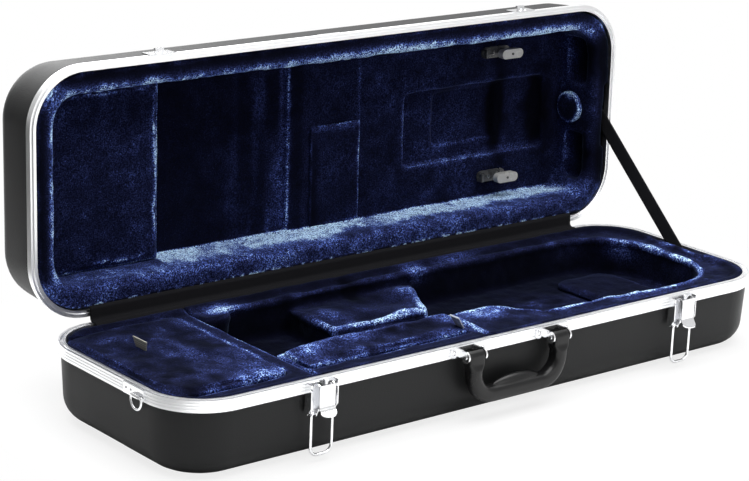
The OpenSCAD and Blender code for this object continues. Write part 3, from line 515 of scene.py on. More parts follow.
def tube_faces(rings: int, count: int) -> np.ndarray:
    """The quads of a tube of rings.

    Args:
        rings: how many rings it has.
        count: how many points each ring has.

    Returns:
        One row of four vertex numbers for each quad: two neighbours on a ring, then those on the next.
    """
    ring, step = np.mgrid[0:rings - 1, 0:count]
    ahead = (step + 1) % count
    quads = [ring * count + step, ring * count + ahead, (ring + 1) * count + ahead, (ring + 1) * count + step]
    return np.stack(quads, 2).reshape(-1, 4)


def corners_of(mesh: bpy.types.Mesh) -> np.ndarray:
    """The vertex number at each corner of the mesh's faces."""
    corners = np.empty(len(mesh.loops), np.int32)
    mesh.loops.foreach_get("vertex_index", corners)
    return corners


def rows_of(items: bpy.types.bpy_prop_collection, key: str) -> np.ndarray:
    """One row of x, y, z for each item of a mesh, read as 32-bit numbers."""
    flat = np.empty(len(items) * 3, np.float32)
    items.foreach_get(key, flat)
    return flat.reshape(-1, 3)


def points_of(piece: bpy.types.Object) -> np.ndarray:
    """The piece's vertices, one row each."""
    return rows_of(piece.data.vertices, "co").astype(float)


def normals_of(piece: bpy.types.Object) -> np.ndarray:
    """The piece's vertex normals, one row each."""
    return rows_of(piece.data.vertex_normals, "vector").astype(float)


def set_points(piece: bpy.types.Object, points: np.ndarray) -> None:
    """Moves the piece's vertices to the given rows."""
    piece.data.vertices.foreach_set("co", np.asarray(points, np.float32).ravel())
    piece.data.update()


def edges_of(piece: bpy.types.Object) -> np.ndarray:
    """The two vertex numbers of each of the piece's edges."""
    flat = np.empty(len(piece.data.edges) * 2, np.int32)
    piece.data.edges.foreach_get("vertices", flat)
    return flat.reshape(-1, 2)


def shade_smooth(piece: bpy.types.Object) -> None:
    """Shades every face of the piece smooth."""
    piece.data.polygons.foreach_set("use_smooth", np.ones(len(piece.data.polygons), bool))


def lengths(rows: np.ndarray) -> np.ndarray:
    """The length of each row, one row each and never quite nothing."""
    return np.linalg.norm(rows, axis=1, keepdims=True).clip(1e-9)


def spread(values: np.ndarray, edges: np.ndarray, passes: int) -> np.ndarray:
    """Averages each vertex's value with its neighbours' mean.

    Args:
        values: one value for each vertex.
        edges: the two vertex numbers of each edge.
        passes: how many times it is done.

    Returns:
        The spread values.
    """
    count = np.bincount(edges.ravel(), minlength=len(values)).clip(1)
    for _ in range(passes):
        total = np.bincount(edges[:, 0], values[edges[:, 1]], len(values))
        total += np.bincount(edges[:, 1], values[edges[:, 0]], len(values))
        values = (values + total / count) / 2
    return values


def ease(values: np.ndarray, low: float, high: float) -> np.ndarray:
    """0 at low, 1 at high and smooth between, whichever of the two is greater."""
    part = np.clip((values - low) / (high - low), 0, 1)
    return smoothed(part)


def smoothed(part: np.ndarray) -> np.ndarray:
    """A share from 0 to 1 that starts and ends gently: three times its square less twice its cube."""
    return part * part * (3 - 2 * part)


def fade(values: np.ndarray, origin: float, span: Span) -> np.ndarray:
    """0 at the span's first distance from the origin, 1 at its second and smooth between."""
    return ease(values, origin + span[0], origin + span[1])


def cloud(points: np.ndarray, size: float | Triple, seed: int) -> np.ndarray:
    """Smooth noise from -1 to 1: random values at the corners of a grid, eased between them.

    A corner's value comes from its three whole numbers, each times a large prime, stirred by shifts.

    Args:
        points: where it is read, one row each.
        size: the grid's spacing, one number or one for each axis.
        seed: which noise it is.

    Returns:
        One value for each point.
    """
    primes = np.array([73856093, 19349663, 83492791])
    seed_prime, stir, low_31_bits = 2654435761, 1274126177, 0x7FFFFFFF
    spot = points / np.asarray(size)
    cell = np.floor(spot).astype(np.int64)
    near = smoothed(spot - cell)
    total = np.zeros(len(points))
    for corner in np.ndindex(2, 2, 2):
        key = (cell + corner) @ primes + seed * seed_prime
        key = (key ^ (key >> 13)) * stir & low_31_bits
        value = ((key ^ (key >> 16)) & 0xFFFF) / 32767.5 - 1
        total += value * np.prod(np.where(corner, near, 1 - near), axis=1)
    return total


def bake(piece: bpy.types.Object) -> None:
    """Puts the piece's modifiers into its mesh.

    Args:
        piece: the piece.
    """
    bpy.context.view_layer.update()
    shaped = piece.evaluated_get(bpy.context.evaluated_depsgraph_get())
    mesh = bpy.data.meshes.new_from_object(shaped)
    piece.modifiers.clear()
    swap_mesh(piece, mesh)


def swap_mesh(piece: bpy.types.Object, mesh: bpy.types.Mesh) -> None:
    """Gives the piece another mesh and deletes its old one."""
    old, piece.data = piece.data, mesh
    bpy.data.meshes.remove(old)
    mesh.name = piece.name


def merged_solids(nodes: tuple[str, ...]) -> tuple[np.ndarray, np.ndarray]:
    """The triangles of some CAD nodes with their doubled vertices merged.

    Args:
        nodes: the nodes' names.

    Returns:
        The points and the triangles.
    """
    points, faces, start = [], [], 0
    for node in nodes:
        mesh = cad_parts[node].data
        rows, back = np.unique(np.round(rows_of(mesh.vertices, "co"), 6), axis=0, return_inverse=True)
        points.append(rows)
        faces.append(back.ravel()[corners_of(mesh)].reshape(-1, 3) + start)
        start += len(rows)
    return np.concatenate(points), np.concatenate(faces)


def keep_largest_part(piece: bpy.types.Object) -> None:
    """Deletes all but the largest connected part of a piece made of quads.

    Each vertex takes the lowest number among its neighbours until nothing changes, so that every connected
    part ends with one number of its own.

    Args:
        piece: the piece.
    """
    edges = edges_of(piece)
    label, before = np.arange(len(piece.data.vertices)), None
    while not np.array_equal(before, label):
        before = label.copy()
        low = np.minimum(label[edges[:, 0]], label[edges[:, 1]])
        np.minimum.at(label, edges[:, 0], low)
        np.minimum.at(label, edges[:, 1], low)
        label = label[label]
    names, counts = np.unique(label, return_counts=True)
    if len(names) == 1:
        return
    kept = label == names[np.argmax(counts)]
    quads = corners_of(piece.data).reshape(-1, 4)
    quads = quads[kept[quads[:, 0]]]
    number = np.cumsum(kept) - 1
    part = make_mesh(piece.name + "_kept", points_of(piece)[kept], number[quads])
    swap_mesh(piece, part.data)
    bpy.data.objects.remove(part)


def dress(piece: bpy.types.Object, finish: Finish) -> None:
    """Gives the piece one finish in place of any it has."""
    piece.data.materials.clear()
    piece.data.materials.append(finish.material())


def dress_node(node: str, finish: Finish) -> None:
    """Gives a CAD node a finish and shades its curves smooth between its hard edges.

    Args:
        node: the node's name.
        finish: what it is finished in.
    """
    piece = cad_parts[node]
    dress(piece, finish)
    weld = piece.modifiers.new("weld", "WELD")
    weld.merge_threshold = WELD
    split = piece.modifiers.new("hard_edges", "EDGE_SPLIT")
    split.split_angle = HARD_EDGE
    shade_smooth(piece)


def report(piece: bpy.types.Object) -> None:
    """Logs a finished piece."""
    log.info("%s: %d faces", piece.name, len(piece.data.polygons))


# ---- Plush pieces ----


@dataclass(frozen=True)
class Spot:
    """A soft-edged oval place in the case, in millimetres, where the lining's painted light and shade, or its
    surface, changes by some amount.
    """

    centre: Triple
    reach: Triple
    amount: float

    def at(self, points: np.ndarray) -> np.ndarray:
        """The amount at each point: a bell curve of the distance from the centre over the reach."""
        away = (points / MM - self.centre) / self.reach
        return self.amount * np.exp(-(away * away).sum(1))


# paints light and shade over a whole piece: from its points and normals, its tone and how much its crests are
# lightened
PaintedLight = Callable[[np.ndarray, np.ndarray], tuple[np.ndarray, np.ndarray]]


@dataclass
class PlushForm:
    """Foam under plush: the CAD solid's shape with its edges rounded, puffed and rumpled.

    Lengths are in metres. lump and crease are the depths of the two sizes of rumples, crest is the bead on
    the edges, and held is the share of the puff that is left at the back and sides. level says how light the
    pile's tone is painted, mottle how far that varies at random, and rub how much lighter the crests are,
    partly as rubbed pile and partly as painted highlight. brush paints light and shade over the whole piece,
    light holds spots of painted highlight and painted shade, and rim_painted_shade is the painted shade
    beside the base rim.
    """

    name: str
    nodes: tuple[str, ...]
    body: Body
    voxel: float = 2.4 * MM
    rounding: int = 8
    shrink: float = 0.3 * MM
    lump: float = 0.8 * MM
    lump_size: float = 26 * MM
    crease: float = 0.35 * MM
    crease_size: float = 9 * MM
    crest: float = 0.0
    pressure: float = 0.0
    cap: float = 4 * MM
    held: float = 0.25
    fill: float = 0.8
    seed: int = 1
    level: float = 0.3
    mottle: float = 0.5
    crest_rub_and_highlight: float = 0.8
    painted_light: PaintedLight | None = None
    light: tuple[Spot, ...] = ()
    swell: tuple[Spot, ...] = ()
    raise_edge: float = 0.0
    rim_gap: float = 0.2 * MM
    rim_softness: float = 0.6 * MM
    rim_painted_shade: float = 0.6
    rim_fade: Span = (24 * MM, 12 * MM)
    cloth_frames: int = 20

    def build(self) -> None:
        """Makes the piece, dresses it and puts it in its nodes' place."""
        piece = make_mesh(self.name, *merged_solids(self.nodes))
        remesh = piece.modifiers.new("voxels", "REMESH")
        remesh.mode, remesh.voxel_size, remesh.adaptivity = "VOXEL", self.voxel, 0.0
        smooth = piece.modifiers.new("rounding", "SMOOTH")
        smooth.factor, smooth.iterations = 0.5, self.rounding
        bake(piece)
        keep_largest_part(piece)
        if self.pressure:
            self._puff(piece)
        self._rumple(piece)
        self._paint_pile_light(piece)
        shade_smooth(piece)
        dress(piece, PLUSH)
        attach(piece, self.body.value)
        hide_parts(*self.nodes)
        report(piece)

    def _puff(self, piece: bpy.types.Object) -> None:
        """Swells the piece by cloth simulation under pressure.

        Each point moves by at most the cap, and by only the held share where it doesn't face the open side.

        Args:
            piece: the piece.
        """
        start, normals = points_of(piece), normals_of(piece)
        cloth = piece.modifiers.new("cloth", "CLOTH")
        cloth.settings.use_pressure = True
        cloth.settings.uniform_pressure_force = self.pressure
        cloth.settings.effector_weights.gravity = 0.0
        cloth.settings.quality = 4
        cloth.point_cache.frame_start, cloth.point_cache.frame_end = 1, self.cloth_frames
        for step in range(1, self.cloth_frames + 1):
            bpy.context.scene.frame_set(step)
        bake(piece)
        bpy.context.scene.frame_set(1)
        move = points_of(piece) - start
        front = normals @ ((0, -1, 0) if self.body is Body.LID else (0, 0, 1))
        free = self.held + (1 - self.held) * ease(front, 0.2, 0.8)
        set_points(piece, start + move * np.minimum(1.0, self.cap / lengths(move)) * free[:, None])

    def _rumple(self, piece: bpy.types.Object) -> None:
        """Moves each point along its normal by two sizes of noise, a bead on the crests and the named swells.

        Beside the base rim the upper face is then lifted, and pressed down again where it would stand above
        the rim: by a softness times the logarithm of one plus e to the height above over the softness.

        Args:
            piece: the piece.
        """
        points, normals = points_of(piece), normals_of(piece)
        bump = cloud(points, self.lump_size, self.seed) * self.lump
        bump += cloud(points, self.crease_size, self.seed + 7) * self.crease
        if self.crest:
            bump += ease(spread(self._rise(piece), edges_of(piece), 6), 0.02, 0.2) * self.crest
        for spot in self.swell:
            bump += spot.at(points) * MM
        points = points + normals * (bump - self.shrink)[:, None]
        if self.raise_edge:
            beside = self._beside_rim(points)
            points[:, 2] += self.raise_edge * beside * ease(normals[:, 2], 0.1, 0.6)
            below = (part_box("base_rim")[1].z + self.rim_gap - points[:, 2]) / self.rim_softness
            above = (np.logaddexp(0, below) - below) * self.rim_softness
            points[:, 2] -= above * np.minimum(1.0, 4 * beside)
        set_points(piece, points)

    def _beside_rim(self, points: np.ndarray) -> np.ndarray:
        """1 at the base rim's inner side, falling to 0 further in, by the distance to a rounded oblong.

        Args:
            points: where it is read.

        Returns:
            One value for each point.
        """
        low, high = (np.array(corner)[:2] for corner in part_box("base_rim"))
        corner = (high - low)[1] * 0.24
        away = np.abs(points[:, :2] - (low + high) / 2) - ((high - low) / 2 - corner)
        outside = np.linalg.norm(away.clip(0), axis=1) + np.minimum(away.max(1), 0)
        return ease(corner - outside, *self.rim_fade)

    def _paint_pile_light(self, piece: bpy.types.Object) -> None:
        """Stores the pile's tone at each point: random clouds, crests lighter as rubbed pile and painted
        highlight, painted light and shade from the brush and the spots, and painted shade beside the rim.

        Args:
            piece: the piece.
        """
        points, normals, edges = points_of(piece), normals_of(piece), edges_of(piece)
        rise = self._rise(piece)
        crest = ease(spread(rise, edges, 2), 0.05, 0.34)
        glow = ease(spread(rise, edges, 12), 0.01, 0.14)
        pile, crest_rub_and_highlight = np.full(len(points), self.level), self.crest_rub_and_highlight
        if self.painted_light is not None:
            pile, crest_rub_and_highlight = self.painted_light(points, normals)
        patches = cloud(points, 31 * MM, self.seed + 3) * 0.6 + cloud(points, 12 * MM, self.seed + 5) * 0.6
        crest_breakup = 0.6 + 0.5 * cloud(points, 16 * MM, self.seed + 11)
        # crests and the ground around them lighten, partly as rubbed pile and partly as painted highlight
        pile = pile * (1 + self.mottle * patches) + crest_rub_and_highlight * (crest + glow * 0.2) * crest_breakup * (0.35 + pile)
        # painted shade beside the base rim
        if self.raise_edge:
            pile = pile * (1 - self.rim_painted_shade * self._beside_rim(points))
        # spots of painted highlight and painted shade
        for spot in self.light:
            pile += spot.at(points)
        store = piece.data.attributes.new(PILE_TONE_AND_LIGHT, "FLOAT", "POINT")
        store.data.foreach_set("value", np.clip(pile, 0.0, 1.0).astype(np.float32))

    @staticmethod
    def _rise(piece: bpy.types.Object) -> np.ndarray:
        """How far each point stands out from its neighbours, as a share of their distance.

        Args:
            piece: the piece.

        Returns:
            For each point, the sum over its edges of the way to the neighbour against its normal, over the
            edge's length.
        """
        points, normals, edges = points_of(piece), normals_of(piece), edges_of(piece)
        step = points[edges[:, 1]] - points[edges[:, 0]]
        length = lengths(step)[:, 0]
        rise = -np.bincount(edges[:, 0], (step * normals[edges[:, 0]]).sum(1) / length, len(points))
        rise += np.bincount(edges[:, 1], (step * normals[edges[:, 1]]).sum(1) / length, len(points))
        return rise


@dataclass
class LidLightAndShade:
    """Painted light and shade over the open lid's lining.

    floor, bay, hinge_band, hinge_side and face say how light the pile is painted there, from 0 to 1, and each
    span is where one part fades into the next, as two distances from an edge that the method names.
    edge_shade_width sets how far in from the rim the painted shade on the face reaches.
    """

    floor: float = 0.23
    bay: float = 0.12
    hinge_band: float = 1.0
    hinge_side: float = 0.4
    face: float = 0.4
    edge_shade_width: float = 15 * MM
    folds: float = 0.32
    past_bay: float = 0.12
    seam: float = 0.85
    floor_rise: Span = (-6 * MM, -1 * MM)
    hinge_zone: Span = (40 * MM, 28 * MM)
    tail_face: Span = (-70 * MM, -40 * MM)
    seam_above: Span = (5 * MM, 2.5 * MM)
    seam_behind: Span = (6 * MM, 2 * MM)
    tail_part: Span = (95 * MM, 120 * MM)
    tail_below: Span = (-22 * MM, -34 * MM)
    band_depth: Span = (-52 * MM, -14 * MM)
    band_start: Span = (-4 * MM, 2 * MM)
    band_end: Span = (-34 * MM, -58 * MM)

    def light(self, points: np.ndarray, normals: np.ndarray) -> tuple[np.ndarray, np.ndarray]:
        """Painted shade beside the rim and in the bay, and painted light on the hinge side's upward-facing
        wall towards the lid's floor.

        Args:
            points: the lining's points.
            normals: their normals.

        Returns:
            How light the pile lies at each point, from 0 to 1, and how far its crests are rubbed.
        """
        x, y, z = points.T
        low, high = (np.array(corner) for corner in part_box("lid_wall_pad"))
        floor_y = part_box("lid_floor_pad")[0].y
        on_floor = ease(-normals[:, 1], 0.5, 0.85) * fade(y, floor_y, self.floor_rise)
        by_hinge = fade(z, low[2], self.hinge_zone)
        side = np.minimum(high[0] - np.abs(x), high[2] - z)
        # painted shade on the face near the rim, and more towards the tail end
        face = self.face * ease(side, 0.3 * self.edge_shade_width, 1.4 * self.edge_shade_width)
        face = face * (1 - 0.35 * fade(x, high[0], self.tail_face))
        wall = by_hinge * self._hinge_side(points, normals, floor_y, high[0]) + (1 - by_hinge) * face
        seam = fade(z, low[2], self.seam_above) * fade(y, low[1], self.seam_behind)
        wall = wall * (1 - seam) + seam * self.seam * ease(cloud(points, 4 * MM, 37), -0.2, 0.3)
        tail = ease(x, *self.tail_part) * fade(z, high[2], self.tail_below)
        # less painted crest highlight on the hinge side and at the tail end
        crest_rub_and_highlight = 0.9 - 0.75 * by_hinge * (1 - on_floor) - 0.65 * tail * (1 - by_hinge)
        return on_floor * self._floor(points) + (1 - on_floor) * wall, crest_rub_and_highlight

    def _floor(self, points: np.ndarray) -> np.ndarray:
        """The floor's painted light and shade: painted shade in the bay between the end pad and the pocket,
        lighter streaks where soft folds run, and more painted shade just past the bay.

        Args:
            points: the lining's points.

        Returns:
            How light it lies at each point.
        """
        x = points[:, 0]
        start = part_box("lid_end_pad")[1].x
        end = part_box("lid_pocket")[0].x - 29 * MM
        streaks = cloud(points, (9 * MM, 1.0, 90 * MM), 31)
        in_bay = fade(x, start, (-2 * MM, 0.0)) * fade(x, end, (0.0, -3 * MM))
        folds = (0.35 + 0.8 * streaks).clip(0, 1) * ease(x, start + 55 * MM, end)
        beyond = fade(x, end, (0.0, 4 * MM)) * fade(x, end, (26 * MM, 14 * MM))
        return self.floor + in_bay * (self.bay - self.floor + folds * self.folds) - beyond * self.past_bay

    def _hinge_side(self, points: np.ndarray, normals: np.ndarray, floor_y: float, end: float) -> np.ndarray:
        """The hinge side's wall: a band of painted light where it faces up along the floor, from the end pad
        to the tail end.

        Args:
            points: the lining's points.
            normals: their normals.
            floor_y: where the lid's floor begins.
            end: where the lining ends at the tail end.

        Returns:
            How light the pile is painted at each point.
        """
        x, y = points[:, 0], points[:, 1]
        # painted light on the faces that look up
        upward = ease(normals[:, 2], 0.3, 0.8)
        deep = fade(y + cloud(points, 22 * MM, 33) * 5 * MM, floor_y, self.band_depth)
        along = fade(x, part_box("lid_end_pad")[1].x, self.band_start) * fade(x, end, self.band_end)
        band = self.hinge_band * (1 + 0.25 * cloud(points, 30 * MM, 39) + 0.2 * cloud(points, 9 * MM, 41))
        return self.hinge_side + upward * deep * along * (band - self.hinge_side)


@dataclass
class TrayLightAndShade:
    """Painted light and shade over the base's lining, from 0 to 1 on each face, with painted shade towards
    the back.
    """

    top: float = 0.26
    floor: float = 0.2
    back_wall: float = 0.05
    front_wall: float = 0.12
    backwards: Span = (20 * MM, 80 * MM)
    margin: float = 4 * MM

    def light(self, points: np.ndarray, normals: np.ndarray) -> tuple[np.ndarray, np.ndarray]:
        """Painted shade: near black on the wells' walls and darker on their floors than on the tray's top,
        with painted light where the lining faces up.

        Args:
            points: the lining's points.
            normals: their normals.

        Returns:
            How light the pile is painted at each point, from 0 to 1, and how much its crests are lightened.
        """
        _, y, z = points.T
        well_z, top_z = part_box("heel_pad")[0].z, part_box("back_bolster")[1].z
        # painted light where the lining faces up
        upward = ease(normals[:, 2], 0.25, 0.8)
        height = ease(z, well_z + self.margin, top_z - self.margin)
        # painted shade towards the back
        back = ease(y, *self.backwards)
        wall = self.front_wall + back * (self.back_wall - self.front_wall)
        low_floor = self.floor * (1 - 0.7 * back)
        flat = low_floor + height * (self.top * (1 - 0.45 * back) - low_floor)
        return wall + upward * (flat - wall), 1.0 - 0.65 * back


# ---- Lofted bars ----

RING_POINTS = 40  # how many points each ring of a loft has


class Trail:
    """A line of straights and bends in an upright plane, walked to its middle and then mirrored."""

    def __init__(self, x: float, z: float, heading: float) -> None:
        """Starts at a place, heading by an angle from X towards Z."""
        self.line = np.array([[x, z]])
        self.aim = np.array([heading])

    def straight(self, length: float, step: float = 2 * MM) -> "Trail":
        """Goes straight on: the place is the start plus the length times the heading.

        Args:
            length: how far it goes.
            step: about how far apart its points are.

        Returns:
            This trail.
        """
        run = np.linspace(0, length, max(2, int(length / step) + 1))[1:, None]
        way = np.array([math.cos(self.aim[-1]), math.sin(self.aim[-1])])
        return self._extend(run * way, np.full(len(run), self.aim[-1]))

    def left(self, radius: float, steps: int = 16) -> "Trail":
        """Turns left by a quarter circle.

        The place moves by the radius times the rise of the heading's sine and the fall of its cosine.

        Args:
            radius: the circle's radius.
            steps: how many points the bend has.

        Returns:
            This trail.
        """
        start = self.aim[-1]
        aims = start + np.linspace(0, math.pi / 2, steps + 1)[1:]
        arc = radius * np.column_stack([np.sin(aims) - math.sin(start), math.cos(start) - np.cos(aims)])
        return self._extend(arc, aims)

    def _extend(self, moves: np.ndarray, aims: np.ndarray) -> "Trail":
        """Adds points at some moves from the last one, with their headings."""
        self.line = np.vstack([self.line, self.line[-1] + moves])
        self.aim = np.append(self.aim, aims)
        return self

    def mirrored(self) -> tuple[np.ndarray, np.ndarray]:
        """The whole line and the directions to its right, both halves, the middle point kept once."""
        right = np.column_stack([np.sin(self.aim), -np.cos(self.aim)])
        flip = np.array([-1.0, 1.0])
        return np.vstack([self.line, self.line[-2::-1] * flip]), np.vstack([right, right[-2::-1] * flip])


def loft(name: str, trail: Trail, place: Triple, wide: np.ndarray, thick: np.ndarray,
         square: np.ndarray) -> bpy.types.Object:
    """A skin round a trail, whose rings are rounded oblongs.

    The point at angle t of a ring is the line's point plus its right times wide times the cosine of t, plus Y
    times thick times the sine of t, both raised to the power 2 / square with their signs kept.

    Args:
        name: the piece's name.
        trail: the walked half of the middle line.
        place: where the trail's origin lies.
        wide: half the ring's size in the trail's plane, at each point of the whole line.
        thick: half the ring's size along Y, likewise.
        square: 2 for an ellipse and more for squarer rings, likewise.

    Returns:
        The new object.
    """
    line, right = trail.mirrored()
    turn = np.linspace(0, 2 * math.pi, RING_POINTS, endpoint=False)
    power = 2.0 / square[:, None]
    reach = signed_power(np.cos(turn), power) * wide[:, None]
    depth = signed_power(np.sin(turn), power) * thick[:, None]
    points = np.stack([line[:, :1] + right[:, :1] * reach, depth, line[:, 1:] + right[:, 1:] * reach], 2)
    return make_mesh(name, points.reshape(-1, 3) + np.array(place), tube_faces(len(line), len(turn)))


def signed_power(values: np.ndarray, power: np.ndarray) -> np.ndarray:
    """The values raised to a power with their signs kept."""
    return np.sign(values) * np.abs(values) ** power


# ---- Sub-assemblies ----


@dataclass
class Shells:
    """The two moulded shells and their metal rims."""

    shells: tuple[str, ...] = ("base_shell", "lid_shell")
    base_rim: tuple[str, ...] = ("base_rim", "base_rim_splice")
    lid_rim: tuple[str, ...] = ("lid_rim", "lid_rim_splice")

    def dress(self) -> None:
        """Gives the shells their grain and the rims their drawn metal."""
        for nodes, finish in ((self.shells, SHELL), (self.base_rim, BASE_RIM), (self.lid_rim, LID_RIM)):
            for node in nodes:
                dress_node(node, finish)


@dataclass
class Fittings:
    """Latches, keepers, handle, strap rings, hinges and bow holders."""

    metal: tuple[str, ...] = (
        "latch_base_left", "latch_base_right", "latch_pins", "latch_lever_left", "latch_lever_right",
        "latch_rivets", "handle_bracket_left", "handle_bracket_right",
        "handle_pins", "handle_rivets", "ring_plate_left", "ring_plate_right", "ring_left", "ring_right",
        "ring_rivets", "hinge_base_leaves", "hinge_lid_leaves", "hinge_pins", "hinge_rivets_base",
        "hinge_rivets_lid", "keeper_left", "keeper_right", "keeper_rivets", "bow_screws",
        "stay_anchor_base", "stay_anchor_lid",
    )
    clips: tuple[str, ...] = ("bow_clip_front", "bow_clip_back")
    buttons: tuple[str, ...] = ("bow_button_front", "bow_button_back")

    def dress(self) -> None:
        """Plates the metal fittings, colours the moulded ones and makes the handle and the bails."""
        for nodes, finish in ((self.metal, BRIGHT), (self.clips, CLIP), (self.buttons, BUTTON)):
            for node in nodes:
                dress_node(node, finish)
        Handle().build()
        for body in (Body.BAIL_LEFT, Body.BAIL_RIGHT):
            Bail(body).build()


def fit(piece: bpy.types.Object, finish: Finish, body: Body, node: str) -> None:
    """Dresses a lofted piece and puts it on its body in its node's place.

    Args:
        piece: the piece.
        finish: what it is finished in.
        body: the body it rides on.
        node: the CAD node it stands for.
    """
    dress(piece, finish)
    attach(piece, body.value)
    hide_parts(node)
    report(piece)


def box_of(node: str) -> tuple[np.ndarray, np.ndarray]:
    """A node's lowest and highest corners."""
    low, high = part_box(node)
    return np.array(low), np.array(high)


@dataclass(frozen=True)
class Handle:
    """The moulded carrying handle: square bosses on the pins, wide bends and a lens-shaped thumb pad.

    boss, leg and bar are half the section's width there, and boss_square and bar_square how square it is.
    Below the pins the boss narrows to the leg over the neck, and the leg widens to the bar from leg_end on.
    cap is the share of the boss's round top that the skin covers, and clearance is taken off both faces.
    """

    boss: float = 9.9 * MM
    leg: float = 7.8 * MM
    bar: float = 8.6 * MM
    bend: float = 25 * MM
    neck: Span = (8 * MM, 15 * MM)
    leg_end: float = 20 * MM
    clearance: float = 0.4 * MM
    boss_square: float = 9.0
    bar_square: float = 2.8
    cap: float = 0.98
    pad: Triple = (33 * MM, 6.6 * MM, 9.5 * MM)
    pad_sunk: float = 2.5 * MM
    pad_grid: tuple[int, int] = (48, 20)
    pad_steepest: float = 1.55

    def build(self) -> None:
        """Lofts the bar from pin to pin, with the pad as an ellipsoid sunk in its inner side."""
        low, high = box_of("handle_grip")
        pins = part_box("handle_pins")
        place = ((low[0] + high[0]) / 2, (pins[0].y + pins[1].y) / 2, (pins[0].z + pins[1].z) / 2)
        round_top = high[2] - place[2]
        half = (high[0] - low[0]) / 2 - self.boss
        drop = place[2] - low[2] - self.bar
        trail = Trail(-half, self.cap * round_top, -math.pi / 2)
        trail.straight(self.cap * round_top, 0.6 * MM).straight(drop - self.bend).left(self.bend)
        trail.straight(half - self.bend)
        below = -trail.mirrored()[0][:, 1]
        neck = ease(below, *self.neck)
        wide = self.boss + neck * (self.leg - self.boss)
        wide += ease(below, self.leg_end, drop) * (self.bar - self.leg)
        cap = np.sqrt(np.clip(1 - (np.clip(-below, 0, None) / round_top) ** 2, 0.0, 1))
        full = (high[1] - low[1]) / 2 - self.clearance
        thick = (round_top + neck * (full - round_top)) * cap
        square = self.boss_square - (self.boss_square - self.bar_square) * neck
        grip = loft("handle_bar", trail, place, wide, thick, square)
        pad = self._pad((*place[:2], place[2] - drop + self.bar - self.pad_sunk))
        joined = join_meshes("handle_bar_and_pad", (grip, pad))
        fit(joined, HANDLE, Body.HANDLE, "handle_grip")

    def _pad(self, centre: Triple) -> bpy.types.Object:
        """The thumb pad: an ellipsoid, each point being its sizes times the cosines and sines of two angles.

        The second angle stops just short of the poles, which lie inside the bar and on the pad's crest.

        Args:
            centre: where its middle lies.

        Returns:
            The pad.
        """
        columns, rows = self.pad_grid
        turn = np.linspace(0, 2 * math.pi, columns, endpoint=False)
        around, up = np.meshgrid(turn, np.linspace(-self.pad_steepest, self.pad_steepest, rows))
        ball = np.stack([np.cos(up) * np.cos(around), np.cos(up) * np.sin(around), np.sin(up)], 2)
        points = ball.reshape(-1, 3) * self.pad + np.array(centre)
        return make_mesh("thumb_pad", points, tube_faces(*up.shape))


@dataclass(frozen=True)
class Bail:
    """A latch's wire loop, hooked into its lever and rounded at its foot."""

    body: Body
    wire: float = 1.5 * MM
    elbow: float = 2.8 * MM
    bow: float = 8.5 * MM
    stub: float = 2 * MM

    def build(self) -> None:
        """Sweeps a round wire from stub to stub."""
        node = "latch_" + self.body.value
        low, high = box_of(node)
        place = tuple((low + high) / 2 * (1, 1, 0) + (0, 0, high[2] - self.wire))
        half = (high[0] - low[0]) / 2 - self.wire
        length = high[2] - low[2] - 2 * self.wire
        trail = Trail(-half + self.elbow + self.stub, 0.0, math.pi).straight(self.stub).left(self.elbow, 8)
        trail.straight(length - self.elbow - self.bow).left(self.bow, 24).straight(half - self.bow)
        even = np.ones(len(trail.mirrored()[0]))
        wire = loft(node + "_wire", trail, place, even * self.wire, even * self.wire, even * 2.0)
        fit(wire, BRIGHT, self.body, node)


